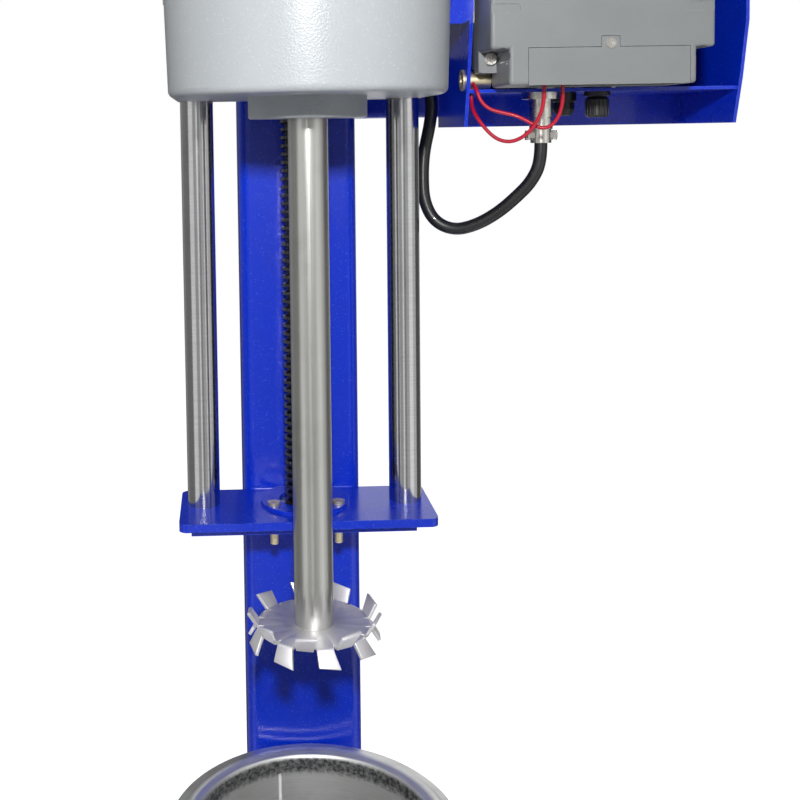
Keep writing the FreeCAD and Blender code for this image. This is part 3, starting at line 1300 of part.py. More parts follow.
for side in (-1, 1):
    shell_tools.append(block("scallop_radius * 2", f"{SLAB_FRONT} + drive_front", "scallop_radius * 2",
                             f"drive_centre + {side} * (ear_hole_x + scallop_radius) - scallop_radius",
                             "-drive_front",
                             f"{DECK} + {EAR_HOLE_HIGH}"))
    latch_end = f"(drive_centre + {side} * (drive_width / 2 - latch_length))"
    shell_tools.append(block("latch_length", "latch_depth", "latch_height",
                             f"{latch_end} + ({side} - 1) / 2 * latch_length", "-drive_front",
                             f"{DECK} + latch_bottom"))
    shell_tools.append(rod("latch_height / 2", "latch_depth", latch_end, "-drive_front",
                           f"{DECK} + latch_bottom + latch_height / 2", "y"))
    for height, relief in (("ear_hole_low", "ear_relief"), (EAR_HOLE_HIGH, "scallop_radius")):
        x = f"drive_centre + {side} * ear_hole_x"
        z = f"{DECK} + {height}"
        shell_tools.append(rod(relief, f"{SLAB_FRONT} + drive_front", x, "-drive_front", z, "y"))
        shell_tools.append(rod("drive_screw_radius", "slab_thick", x, SLAB_FRONT, z, "y"))
        drive_screws.append(cross_screw("drive_screw_radius", "slab_thick + chassis_screw_depth",
                                        "drive_screw_head_radius", "drive_screw_head", x, SLAB_FRONT, z))
terminals = block("wiring_cover_left + wiring_cover_right - 2 * wiring_room_inset", "terminal_depth",
                  "terminal_height", "drive_centre - wiring_cover_left + wiring_room_inset",
                  "terminal_front - drive_front",
                  f"{DECK} + wiring_cover_top - wiring_room_roof - terminal_height")
keep("drive_shell", join(cut(join(shell_top, shell_low, slab), *shell_tools), terminals))
drive_screws.append(cross_screw("drive_screw_radius", "drive_screw_depth", "drive_screw_head_radius * 0.8",
                                "drive_screw_head * 0.5", "drive_centre + wiring_tab_x", "-drive_front",
                                f"{DECK} + wiring_screw_height"))
cover_plate = join(
    block("wiring_cover_left + wiring_cover_right", "wiring_cover_thick", "wiring_cover_top - drive_bottom",
          "drive_centre - wiring_cover_left", "-drive_front", f"{DECK} + drive_bottom"),
    block("2 * wiring_tab_half", "wiring_cover_thick", "wiring_tab_top - wiring_cover_top",
          "drive_centre + wiring_tab_x - wiring_tab_half", "-drive_front", f"{DECK} + wiring_cover_top"))
keep("drive_wiring_cover", cut(cover_plate, rod("drive_screw_radius", "wiring_cover_thick",
                                                "drive_centre + wiring_tab_x", "-drive_front",
                                                f"{DECK} + wiring_screw_height", "y")))
sink = body("drive_centre", SINK_FRONT, DECK)
plate_shape = outline(sketch(sink, "XY_Plane", "chassis_bottom"), [
    ("-drive_width / 2", "0"), ("drive_width / 2", "0"), ("drive_width / 2", "chassis_plate"),
    ("-drive_width / 2", "chassis_plate")])
pad(sink, plate_shape, "drive_top - chassis_bottom")
SINK_DEPTH = f"({BOX_BACK} - box_sheet - {SINK_FRONT})"
sink_shape = outline(sketch(sink, "XY_Plane", "sink_bottom"), [
    ("-sink_width / 2", "0"), ("sink_width / 2", "0"), ("sink_width / 2", SINK_DEPTH),
    ("-sink_width / 2", SINK_DEPTH)])
pad(sink, sink_shape, "drive_top - sink_bottom")
first_slot = "(sink_slot_pitch * (sink_slots - 1) / 2)"
slot_shape = outline(sketch(sink, "XY_Plane", "sink_bottom"), [
    (f"-sink_slot_width / 2 - {first_slot}", "sink_plate"),
    (f"sink_slot_width / 2 - {first_slot}", "sink_plate"),
    (f"sink_slot_width / 2 - {first_slot}", f"{SINK_DEPTH} + box_sheet"),
    (f"-sink_slot_width / 2 - {first_slot}", f"{SINK_DEPTH} + box_sheet")])
sink_slot = pocket(sink, slot_shape, "drive_top - sink_bottom", True)
sink_row = sink.newObject("PartDesign::LinearPattern", "row")
sink_row.Originals = [sink_slot]
sink_row.Direction = (slot_shape, ["H_Axis"])
tie(sink_row, "Length", "sink_slot_pitch * (sink_slots - 1)")
tie(sink_row, "Occurrences", "sink_slots")
sink.Tip = sink_row
doc.recompute()
chassis_holes = sketch(sink, "XZ_Plane")
rear_holes = sketch(sink, "XZ_Plane", f"-{SINK_DEPTH}")
for side in (-1, 1):
    for z in ("ear_hole_low", EAR_HOLE_HIGH):
        circle(chassis_holes, "drive_screw_radius", f"{side} * ear_hole_x", z)
    for z in ("sink_bottom + sink_hole_drop", "drive_top - sink_hole_drop"):
        circle(rear_holes, "drive_screw_radius", f"{side} * {SINK_HOLE_X}", z)
        drive_screws.append(bolt("drive_screw_radius", "box_sheet + drive_screw_depth",
                                 "drive_screw_head_radius",
                                 "drive_screw_head", f"drive_centre + {side} * {SINK_HOLE_X}", BOX_BACK,
                                 f"{DECK} + {z}", "-y"))
pocket(sink, chassis_holes, "chassis_plate")
pocket(sink, rear_holes, "drive_screw_depth", True)
keep("drive_heat_sink", sink)
keep("drive_screws", group(*drive_screws))

# Keypad with its window, four keys and the speed knob.
KEYS = {
    "down_key": ("-key_width", "key_row_high"),
    "up_key": ("key_width", "key_row_high"),
    "run_key": ("-key_width", "key_row_middle"),
    "stop_key": ("-key_width", "key_row_low"),
}
keypad_tools = []
for name, (x, row) in KEYS.items():
    z = f"({KEYPAD_TOP} - {row})"
    keypad_tools.append(block("key_width + 2 * key_gap", "keypad_thick", "key_height + 2 * key_gap",
                              f"drive_centre + {x} - key_width / 2 - key_gap", "-drive_front - keypad_thick",
                              f"{DECK} + {z} - key_height / 2 - key_gap"))
    keep(name, block("key_width", "keypad_thick + key_proud - key_travel - key_gap", "key_height",
                     f"drive_centre + {x} - key_width / 2", "-drive_front - keypad_thick - key_proud",
                     f"{DECK} + {z} - key_height / 2"))
keypad_tools.append(rod("knob_stem + run_play", "keypad_thick", KNOB_X, "-drive_front - keypad_thick",
                        KNOB_Z, "y"))
keypad = block("keypad_width", "keypad_thick", "keypad_height", "drive_centre - keypad_width / 2",
               "-drive_front - keypad_thick", f"{DECK} + {KEYPAD_BOTTOM}")
keypad_round = rounded(keypad, SIZES["drive_corner"], lambda edge: runs_along(edge, Vector(0, 1, 0)))
keep("keypad", cut(keypad_round, *keypad_tools))
keep("display_window", block("window_width", "window_thick", "window_height",
                             "drive_centre - window_width / 2",
                             "-drive_front - keypad_thick - window_thick",
                             f"{DECK} + {KEYPAD_TOP} - window_drop - window_height"))
knob = body(KNOB_X, "-drive_front - keypad_thick - end_play", KNOB_Z, ALONG["-y"])
turned(knob, [
    ("0", "-keypad_thick - end_play - knob_stem_depth"),
    ("knob_stem", "-keypad_thick - end_play - knob_stem_depth"),
    ("knob_stem", "0"), ("knob_radius", "0"), ("knob_radius", "knob_skirt"),
    ("knob_radius * 0.92", "knob_length - knob_edge"),
    ("knob_radius * 0.85", "knob_length"), ("0", "knob_length")])
flute_sketch = circle(sketch(knob, "XY_Plane", "knob_skirt"), "knob_flute_radius", "knob_radius")
flute = pocket(knob, flute_sketch, "knob_length", True)
around(knob, [flute], flute_sketch, "knob_flutes")
keep("speed_knob", knob)

# Motor socket, its plug and the clamp on the cable, below the box floor.


def panel_nut(across, bore_radius, x, y):
    """Hexagonal nut on top of the box floor."""
    ring = hexagon(across, "panel_nut_thick", x, y, f"({FLOOR} + box_sheet)")
    return cut(ring, rod(bore_radius, "panel_nut_thick", x, y, f"({FLOOR} + box_sheet)"))


socket = body("socket_x", "socket_y", FLOOR)
turned(socket, [
    ("0", "-socket_ring_thick"), ("socket_ring", "-socket_ring_thick"), ("socket_ring", "0"),
    ("socket_neck", "0"),
    ("socket_neck", "box_sheet + socket_rise"), ("0", "box_sheet + socket_rise")])
keep("motor_socket", group(socket, panel_nut("socket_nut", "socket_neck", "socket_x", "socket_y")))
plug = body("socket_x", "socket_y", f"{FLOOR} - socket_ring_thick")
turned(plug, [
    ("0", "0"), ("plug_radius", "0"), ("plug_radius", "-plug_ring_length"),
    ("plug_radius - plug_groove_depth", "-plug_ring_length"),
    ("plug_radius - plug_groove_depth", "-plug_ring_length - plug_groove"),
    ("plug_tail_radius", "-plug_ring_length - plug_groove"),
    ("plug_tail_radius", "-plug_ring_length - plug_tail_length"),
    ("0", "-plug_ring_length - plug_tail_length")])
keep("motor_plug", plug)
CLAMP = f"({FLOOR} - socket_ring_thick - plug_ring_length - plug_tail_length)"
clamp_ear_z = f"({CLAMP} - clamp_ear_drop - clamp_ear_thick)"
clamp_parts = [rod("clamp_radius", "clamp_length", "socket_x", "socket_y", f"{CLAMP} - clamp_length"),
               block("clamp_ear_length", "clamp_ear_width", "clamp_ear_thick",
                     "socket_x - clamp_ear_length / 2",
                     "socket_y - clamp_ear_width / 2", clamp_ear_z)]
for side in (-1, 1):
    clamp_parts.append(rod("clamp_screw_radius", "clamp_ear_thick + 2 * clamp_screw_proud",
                           f"socket_x + {side} * (clamp_ear_length / 2 - clamp_screw_inset)",
                           "socket_y", f"{clamp_ear_z} - clamp_screw_proud"))
keep("cable_clamp", join(*clamp_parts))

# Fuse holder with its ribbed cap, the gland of the supply lead, and their nuts.
fuse = body("fuse_x", "fuse_y", FLOOR)
turned(fuse, [
    ("0", "-fuse_flange_thick"), ("fuse_flange_radius", "-fuse_flange_thick"), ("fuse_flange_radius", "0"),
    ("fuse_radius", "0"), ("fuse_radius", "box_sheet + fuse_rise"), ("0", "box_sheet + fuse_rise")])
keep("fuse_holder", group(fuse, panel_nut("fuse_radius * 1.5", "fuse_radius", "fuse_x", "fuse_y")))
fuse_cap = body("fuse_x", "fuse_y", f"{FLOOR} - fuse_flange_thick - end_play")
turned(fuse_cap, [
    ("0", "-fuse_cap_length"), ("fuse_cap_radius - fuse_cap_edge", "-fuse_cap_length"),
    ("fuse_cap_radius", "fuse_cap_edge - fuse_cap_length"), ("fuse_cap_radius", "-fuse_cap_shoulder"),
    ("fuse_cap_radius - fuse_cap_edge", "0"), ("0", "0")])
rib_sketch = circle(sketch(fuse_cap, "XY_Plane", "-fuse_cap_length"), "fuse_rib_radius", "fuse_cap_radius")
rib = pocket(fuse_cap, rib_sketch, "fuse_cap_length - fuse_rib_stop", True)
around(fuse_cap, [rib], rib_sketch, "fuse_ribs")
keep("fuse_cap", fuse_cap)
lead_gland = body("lead_gland_x", "lead_gland_y", FLOOR)
turned(lead_gland, [
    ("0", "-lead_gland_length"), ("lead_gland_radius * 0.6", "-lead_gland_length"),
    ("lead_gland_radius * 0.85", "-lead_gland_dome"), ("lead_gland_radius * 0.85", "-lead_gland_waist"),
    ("lead_gland_radius", "-lead_gland_flange"), ("lead_gland_radius", "0"), ("lead_gland_thread", "0"),
    ("lead_gland_thread", "box_sheet + lead_gland_rise"), ("0", "box_sheet + lead_gland_rise")])
keep("supply_lead_gland", group(lead_gland, panel_nut("lead_gland_radius", "lead_gland_thread",
                                                      "lead_gland_x", "lead_gland_y")))

# Zinc bush in the box's left wall.
bush = body("box_left", "wall_bush_y", f"{DECK} + wall_bush_height", ALONG["x"])
turned(bush, [
    ("wall_bush_bore", "-wall_bush_head"), ("wall_bush_radius + wall_bush_lip", "-wall_bush_head"),
    ("wall_bush_radius + wall_bush_lip", "0"), ("wall_bush_radius - wall_bush_neck", "0"),
    ("wall_bush_radius - wall_bush_neck", "box_sheet"), ("wall_bush_radius", "box_sheet"),
    ("wall_bush_radius", "wall_bush_length"), ("wall_bush_bore", "wall_bush_length")])
keep("wall_bush", bush)
doc.recompute()


# Cords: tubes along straight runs joined by tangent arcs, their points relative to the lower bracket's top.


def cord(node, radius_name, points):
    """Tube of one radius through the points given, each turn an arc as large as its runs allow."""
    level = SIZES["base_thick"] + SIZES["vessel_height"] + SIZES["plate_above_rim"]
    route = [Vector(x, y, z + level) for x, y, z in points]
    radius = SIZES[radius_name]
    edges = []
    radii = []
    last = route[0]
    for before, corner, after in zip(route, route[1:], route[2:]):
        come = (corner - before).normalize()
        leave = (after - corner).normalize()
        turn = come.getAngle(leave)
        tangent = 0.45 * min((corner - before).Length, (after - corner).Length)
        radii.append(tangent / math.tan(turn / 2))
        first = corner - come * tangent
        second = corner + leave * tangent
        inward = (leave - come).normalize()
        middle = corner + inward * (radii[-1] / math.cos(turn / 2) - radii[-1])
        edges.append(Part.LineSegment(last, first).toShape())
        edges.append(Part.Arc(first, middle, second).toShape())
        last = second
    edges.append(Part.LineSegment(last, route[-1]).toShape())
    path = Part.Wire(edges)
    start = (route[1] - route[0]).normalize()
    ring = Part.Wire(Part.Circle(route[0], start, radius).toShape())
    tube = path.makePipeShell([ring], True, False)
    item = doc.addObject("Part::Feature", "cord")
    item.Shape = tube
    item.Placement = Placement()
    wanted = math.pi * radius ** 2 * path.Length
    print(node, "length", round(path.Length, 1), "volume", round(tube.Volume / wanted, 4),
          "radii", [round(value, 1) for value in radii])
    return keep(node, item)


GLAND_MIDDLE = SIZES["rod_spacing"] / 2 + SIZES["gland_beside_rod"]
SOCKET_END = (SIZES["box_floor"] - SIZES["socket_ring_thick"] - SIZES["plug_ring_length"]
              - SIZES["plug_tail_length"] - SIZES["clamp_length"])
cord("motor_cable", "cable_radius", [
    (SIZES["socket_x"], SIZES["socket_y"], SOCKET_END), (SIZES["socket_x"], SIZES["socket_y"], 209),
    (140.2, -7.4, 197), (131.5, -3, 187), (122, 3, 177.5), (110, 8.5, 169.8), (97.5, 14.5, 166.2),
    (86, 19, 171.5), (80, 21.5, 184), (79.4, 23, 200), (80.6, 24, 216), (84.5, 24.5, 232), (86.8, 26, 248),
    (82, 28.5, 262), (73, 31.5, 272), (GLAND_MIDDLE, SIZES["gland_y"], 281),
    (GLAND_MIDDLE, SIZES["gland_y"],
     SIZES["head_height"] + SIZES["casting_height"] + SIZES["motor_plate_thick"] - SIZES["gland_length"])])
WIRE_TOP = SIZES["wiring_cover_top"] - SIZES["wiring_room_roof"] - SIZES["terminal_height"]
WIRE_END = (SIZES["wall_bush_y"], SIZES["wall_bush_height"] - SIZES["wall_bush_radius"])
cord("red_wire_long", "wire_radius", [
    (135.6, -48, WIRE_TOP), (136.2, -47.5, 256), (136.6, -45.6, 244.5), (134.4, -43, 234.8),
    (129.2, -40, 226.8),
    (123, -37, 222.6), (117.3, -34.5, 221.9), (111.6, -31.5, 224.4), (106.2, -28.6, 230.6),
    (102.6, -24.8, 237.2),
    (101.4, -19.5, 242), (SIZES["wire_hole_x"], SIZES["wall_bush_y"], 246.8),
    (SIZES["wire_hole_x"], *WIRE_END)])
cord("red_wire_short", "wire_radius", [
    (147, -46.5, WIRE_TOP), (147.4, -45.2, 256), (148.6, -42.4, 246.2), (147.2, -40, 236.5),
    (142.6, -37.6, 230),
    (136.6, -35.4, 229.6), (130.8, -33.4, 233.8), (124, -31.4, 237.4), (116, -29, 239.2), (109, -27, 241.6),
    (104.4, -26.4, 246.6), (102.6, -25.6, 253.2), (102.2, -18.9, 256.7)])

doc.recompute()
faults = [item.Label for item in doc.Objects if set(item.State) & {"Invalid", "Error"}]
for node, item in NODES.items():
    if item.Shape.isNull() or not item.Shape.isValid() or not item.Shape.Solids:
        faults.append(node)
if faults:
    raise ValueError(f"these objects failed: {faults}")
os.makedirs("parts", exist_ok=True)
for node, item in NODES.items():
    item.Shape.exportStep(f"parts/{node}.step")
print(len(NODES), "nodes,", sum(len(item.Shape.Solids) for item in NODES.values()), "solids")
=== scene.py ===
import logging
import math
from dataclasses import dataclass
from enum import Enum
from typing import Iterable, Optional, Sequence, Union

import bmesh
import bpy
from mathutils import Matrix, Vector


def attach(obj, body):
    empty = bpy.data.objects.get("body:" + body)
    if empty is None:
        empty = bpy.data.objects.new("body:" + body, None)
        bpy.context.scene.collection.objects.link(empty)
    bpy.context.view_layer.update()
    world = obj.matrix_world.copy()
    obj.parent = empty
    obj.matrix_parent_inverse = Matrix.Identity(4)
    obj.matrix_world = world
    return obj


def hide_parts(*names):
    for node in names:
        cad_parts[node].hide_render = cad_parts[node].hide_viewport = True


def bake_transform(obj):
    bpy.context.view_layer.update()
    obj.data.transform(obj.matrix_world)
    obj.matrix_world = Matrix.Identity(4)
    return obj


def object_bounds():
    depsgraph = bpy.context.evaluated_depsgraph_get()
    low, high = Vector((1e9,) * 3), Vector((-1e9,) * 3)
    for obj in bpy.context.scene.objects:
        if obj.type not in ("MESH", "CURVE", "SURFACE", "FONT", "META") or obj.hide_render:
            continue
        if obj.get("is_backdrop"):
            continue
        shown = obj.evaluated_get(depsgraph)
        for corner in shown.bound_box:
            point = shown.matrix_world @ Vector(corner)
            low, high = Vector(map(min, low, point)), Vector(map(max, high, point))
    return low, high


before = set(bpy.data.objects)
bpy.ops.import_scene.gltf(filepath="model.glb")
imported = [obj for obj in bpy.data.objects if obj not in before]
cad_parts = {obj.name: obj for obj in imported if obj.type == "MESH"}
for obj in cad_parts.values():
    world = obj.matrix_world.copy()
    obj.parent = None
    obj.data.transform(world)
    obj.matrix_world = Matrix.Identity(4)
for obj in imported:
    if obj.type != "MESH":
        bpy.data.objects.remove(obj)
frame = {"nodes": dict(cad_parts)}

LOG = logging.getLogger("disperser")
# A millimetre in metres, and how high the lower bracket's top lies in the part's frame.
MM = 0.001
DECK = 0.3475
Colour = tuple[float, float, float]
Millimetres = tuple[float, float, float]
Value = Union[float, Sequence[float], bpy.types.NodeSocket]


class Body(Enum):
    """The rigid bodies that pieces ride on."""

    STAND = "stand"
    HEAD = "head"
    SPINDLE = "spindle"
    SCREW = "screw"
    RUN_KEY = "run_key"
    STOP_KEY = "stop_key"
    UP_KEY = "up_key"
    DOWN_KEY = "down_key"
    SPEED_KNOB = "speed_knob"


def at(x: float, y: float, z: float) -> Vector:
    """A point in millimetres from the lower bracket's top, as metres in the part's frame."""
    return Vector((x * MM, y * MM, z * MM + DECK))


def tone(red: int, green: int, blue: int) -> Colour:
    """A colour as it is seen on a screen, turned into linear light by the sRGB curve.

    Args:
        red: Red from 0 to 255.
        green: Green from 0 to 255.
        blue: Blue from 0 to 255.

    Returns:
        The three linear parts, each from 0 to 1.
    """
    parts = [value / 255 for value in (red, green, blue)]
    return tuple(p / 12.92 if p <= 0.04045 else ((p + 0.055) / 1.055) ** 2.4 for p in parts)


class Graph:
    """Adds and links the nodes of one shader tree."""

    def __init__(self, tree: bpy.types.NodeTree) -> None:
        """Keep the tree that is worked on."""
        self.tree = tree

    def add(self, kind: str, inputs: Optional[dict[Union[int, str], Value]] = None,
            **settings: object) -> bpy.types.Node:
        """Add one node.

        Args:
            kind: The node's type name.
            inputs: Values or sockets for its inputs, by name or number.
            **settings: The node's own properties.

        Returns:
            The new node.
        """
        node = self.tree.nodes.new(kind)
        for name, value in settings.items():
            setattr(node, name, value)
        for name, value in (inputs or {}).items():
            self.feed(node.inputs[name], value)
        return node

    def feed(self, socket: bpy.types.NodeSocket, value: Value) -> None:
        """Link a socket to an input, or set the input's value."""
        if isinstance(value, bpy.types.NodeSocket):
            self.tree.links.new(value, socket)
        elif isinstance(value, (tuple, list)) and len(value) == 3 and socket.type == "RGBA":
            socket.default_value = (*value, 1.0)
        else:
            socket.default_value = value

    def math(self, operation: str, *values: Value) -> bpy.types.NodeSocket:
        """One sum on numbers.

        Args:
            operation: The math node's operation.
            *values: Its inputs in order.

        Returns:
            The result's socket.
        """
        return self.add("ShaderNodeMath", dict(enumerate(values)), operation=operation).outputs[0]

    def remap(self, value: Value, low: float, high: float, first: float = 0.0,
              last: float = 1.0) -> bpy.types.NodeSocket:
        """Stretch a value from one range to another and hold it there.

        Args:
            value: What is stretched.
            low: The value that becomes first.
            high: The value that becomes last.
            first: Result at low.
            last: Result at high.

        Returns:
            The result's socket.
        """
        inputs = {"Value": value, "From Min": low, "From Max": high, "To Min": first, "To Max": last}
        return self.add("ShaderNodeMapRange", inputs, clamp=True).outputs[0]

    def blend(self, share: Value, under: Value, over: Value, most: float = 1.0) -> bpy.types.NodeSocket:
        """Mix two colours.

        Args:
            share: How much of the second shows.
            under: First colour.
            over: Second colour.
            most: What shows of the second where share is 1.

        Returns:
            The mixed colour's socket.
        """
        if most != 1.0:
            share = self.math("MULTIPLY", share, most)
        return self.add("ShaderNodeMix", {0: share, 6: under, 7: over}, data_type="RGBA").outputs[2]

    def place(self) -> bpy.types.NodeSocket:
        """The piece's own coordinates in metres."""
        return self.add("ShaderNodeTexCoord").outputs["Object"]

    def noise(self, vector: Value, scale: Value, detail: float = 2.0,
              roughness: float = 0.5) -> bpy.types.NodeSocket:
        """Smooth noise.

        Args:
            vector: Coordinates.
            scale: Size of the pattern, larger is finer.
            detail: Number of finer layers.
            roughness: Weight of the finer layers.

        Returns:
            The noise's value socket.
        """
        inputs = {"Vector": vector, "Scale": scale, "Detail": detail, "Roughness": roughness}
        return self.add("ShaderNodeTexNoise", inputs).outputs[0]

    def radius(self, centre: Millimetres) -> bpy.types.NodeSocket:
        """Distance in metres from an upright axis.

        Args:
            centre: A point on the axis, in millimetres.

        Returns:
            The distance's socket.
        """
        parts = self.add("ShaderNodeSeparateXYZ", {0: self.place()}).outputs
        across = self.math("SUBTRACT", parts[0], centre[0] * MM)
        deep = self.math("SUBTRACT", parts[1], centre[1] * MM)
        square = self.math("ADD", self.math("MULTIPLY", across, across), self.math("MULTIPLY", deep, deep))
        return self.math("SQRT", square)

    def height(self) -> bpy.types.NodeSocket:
        """Height in metres in the part's frame."""
        return self.add("ShaderNodeSeparateXYZ", {0: self.place()}).outputs[2]

    def use(self, group: bpy.types.NodeTree, **inputs: Value) -> bpy.types.Node:
        """Place a shared effect.

        Args:
            group: The effect's node group.
            **inputs: Its inputs by name, with _ for a space.

        Returns:
            The group's node.
        """
        node = self.add("ShaderNodeGroup", node_tree=group)
        for name, value in inputs.items():
            self.feed(node.inputs[name.replace("_", " ")], value)
        return node

    def mask(self, group: bpy.types.NodeTree, **inputs: Value) -> bpy.types.NodeSocket:
        """The mask of a shared effect."""
        return self.use(group, **inputs).outputs["Mask"]

    def bump(self, height: Value, depth: float) -> bpy.types.NodeSocket:
        """Relief from a height pattern.

        Args:
            height: The pattern from 0 to 1.
            depth: Its height in millimetres.

        Returns:
            The normal's socket.
        """
        inputs = {"Height": height, "Distance": depth * MM, "Strength": 1.0}
        return self.add("ShaderNodeBump", inputs).outputs[0]

    def seen(self) -> bpy.types.NodeSocket:
        """One for rays from the camera, mirrors and glass, none for scattered light.

        Returns:
            The mask's socket.
        """
        path = self.add("ShaderNodeLightPath").outputs
        seen = self.math("MAXIMUM", path["Is Camera Ray"], path["Is Glossy Ray"])
        return self.math("MAXIMUM", seen, path["Is Transmission Ray"])


def new_material(name: str) -> tuple[bpy.types.Material, Graph, bpy.types.NodeInputs]:
    """Make a material that has only its surface shader.

    Args:
        name: Its name.

    Returns:
        The material, its graph and its surface shader's inputs.
    """
    material = bpy.data.materials.new(name)
    material.use_nodes = True
    graph = Graph(material.node_tree)
    return material, graph, material.node_tree.nodes["Principled BSDF"].inputs


class SharedEffects:
    """Node groups that several finishes share, each built once."""

    # Bounds of the edge mask, which paints edges lighter, partly as wear and partly as painted highlight.
    EDGE_BEGINS = 0.985
    EDGE_FULL = 0.86
    BREAK_UP_BEGINS = 0.42
    BREAK_UP_FULL = 0.62
    COARSE_STROKES = 0.22
    FINE_SHARE = 0.7
    COARSE_SHARE = 0.3
    BLOTCH_SCALE = 38.0
    # Size and rarity of the painted glints, sparse cells that lighten the paint's colour.
    GLINT_SCALE = 1500.0
    RAREST_GLINTS = 0.93

    def __init__(self) -> None:
        """Build every group."""
        self.worn_and_highlit_edges = self._worn_and_highlit_edges()
        self.grain = self._grain()
        self.strokes = self._strokes()
        self.peel = self._peel()
        self.dust = self._dust()

    @staticmethod
    def _group(name: str, inputs: dict[str, Value], outputs: Iterable[str]) -> tuple[
            bpy.types.NodeTree, Graph, bpy.types.NodeOutputs, bpy.types.NodeInputs]:
        """Make an empty group with its sockets.

        Args:
            name: The group's name.
            inputs: Default of each input by name, a vector where it has three parts.
            outputs: Name of each output, all of them numbers.

        Returns:
            The group, its graph, what it is given and where its results go.
        """
        tree = bpy.data.node_groups.new(name, "ShaderNodeTree")
        for label, default in inputs.items():
            kind = "NodeSocketVector" if isinstance(default, tuple) else "NodeSocketFloat"
            socket = tree.interface.new_socket(name=label, in_out="INPUT", socket_type=kind)
            socket.default_value = default
        for label in outputs:
            tree.interface.new_socket(name=label, in_out="OUTPUT", socket_type="NodeSocketFloat")
        graph = Graph(tree)
        given = graph.add("NodeGroupInput").outputs
        return tree, graph, given, graph.add("NodeGroupOutput").inputs

    def _worn_and_highlit_edges(self) -> bpy.types.NodeTree:
        """Mask of outer edges, broken up by noise, with which the finishes paint their edges lighter, partly
        as wear and partly as painted highlight.
        """
        tree, graph, given, result = self._group(
            "worn and highlit edges", {"Width": 0.001, "Break up": 300.0}, ["Mask"])
        soft = graph.add("ShaderNodeBevel", {"Radius": given["Width"]}, samples=4).outputs[0]
        normal = graph.add("ShaderNodeNewGeometry").outputs["Normal"]
        dot = graph.add("ShaderNodeVectorMath", {0: soft, 1: normal}, operation="DOT_PRODUCT")
        edge = graph.remap(dot.outputs["Value"], self.EDGE_BEGINS, self.EDGE_FULL)
        rough = graph.noise(graph.place(), given["Break up"], 3.0)
        broken = graph.remap(rough, self.BREAK_UP_BEGINS, self.BREAK_UP_FULL)
        graph.feed(result["Mask"], graph.math("MULTIPLY", edge, broken))
        return tree

    def _grain(self) -> bpy.types.NodeTree:
        """Fine grain of moulded or cast surfaces."""
        tree, graph, given, result = self._group("grain", {"Scale": 900.0, "Cells": 0.5}, ["Mask"])
        place = graph.place()
        fine = graph.noise(place, given["Scale"], 3.0, 0.6)
        cells = graph.add("ShaderNodeTexVoronoi", {"Vector": place, "Scale": given["Scale"]}).outputs[0]
        mixed = graph.add("ShaderNodeMix", {0: given["Cells"], 2: fine, 3: cells}, data_type="FLOAT")
        graph.feed(result["Mask"], mixed.outputs[0])
        return tree

    def _strokes(self) -> bpy.types.NodeTree:
        """Brush strokes, long along the axis whose stretch is small, and wide blotches."""
        tree, graph, given, result = self._group(
            "strokes", {"Stretch": (900.0, 900.0, 12.0)}, ["Mask", "Blotch"])
        place = graph.place()
        fine = graph.add("ShaderNodeVectorMath", {0: place, 1: given["Stretch"]},
                         operation="MULTIPLY").outputs[0]
        coarse = graph.add("ShaderNodeVectorMath", {0: fine, 1: (self.COARSE_STROKES,) * 3},
                           operation="MULTIPLY").outputs[0]
        wide = graph.math("MULTIPLY", graph.noise(coarse, 1.0, 2.0), self.COARSE_SHARE)
        narrow = graph.noise(fine, 1.0, 4.0, 0.65)
        graph.feed(result["Mask"], graph.math("MULTIPLY_ADD", narrow, self.FINE_SHARE, wide))
        graph.feed(result["Blotch"], graph.noise(place, self.BLOTCH_SCALE, 3.0, 0.55))
        return tree

    def _peel(self) -> bpy.types.NodeTree:
        """Orange peel and hammer texture of sprayed paint, with sparse painted glints."""
        tree, graph, given, result = self._group(
            "peel", {"Scale": 420.0, "Hammer": 0.0}, ["Height", "Painted glint"])
        place = graph.place()
        waves = graph.noise(place, given["Scale"], 1.5, 0.45)
        cells = graph.add("ShaderNodeTexVoronoi", {"Vector": place, "Scale": given["Scale"]},
                          feature="SMOOTH_F1").outputs[0]
        dimples = graph.math("MULTIPLY", cells, given["Hammer"])
        graph.feed(result["Height"], graph.math("ADD", waves, dimples))
        # Painted glints: sparse cells where the paint's colour is lightened.
        glint_cells = graph.add("ShaderNodeTexVoronoi", {"Vector": place, "Scale": self.GLINT_SCALE}).outputs[1]
        glint_cell = graph.add("ShaderNodeSeparateColor", {0: glint_cells}).outputs[0]
        graph.feed(result["Painted glint"], graph.remap(glint_cell, self.RAREST_GLINTS, 1.0))
        return tree

    def _dust(self) -> bpy.types.NodeTree:
        """Wide soft smudges, for roughness and dirt."""
        tree, graph, given, result = self._group("dust", {"Scale": 22.0}, ["Mask"])
        wide = graph.noise(graph.place(), given["Scale"], 4.0, 0.6)
        graph.feed(result["Mask"], graph.remap(wide, 0.35, 0.7))
        return tree


@dataclass(frozen=True)
class Finish:
    """A named surface finish."""

    name: str

    def build(self, effects: SharedEffects) -> bpy.types.Material:
        """Build the material.

        Args:
            effects: The shared node groups.

        Returns:
            The material.
        """
        material, graph, inputs = new_material(self.name)
        for name, value in self.surface(graph, effects).items():
            graph.feed(inputs[name], value)
        return material

    def surface(self, graph: Graph, effects: SharedEffects) -> dict[str, Value]:
        """What goes into the shader's inputs, by their names."""
        raise NotImplementedError


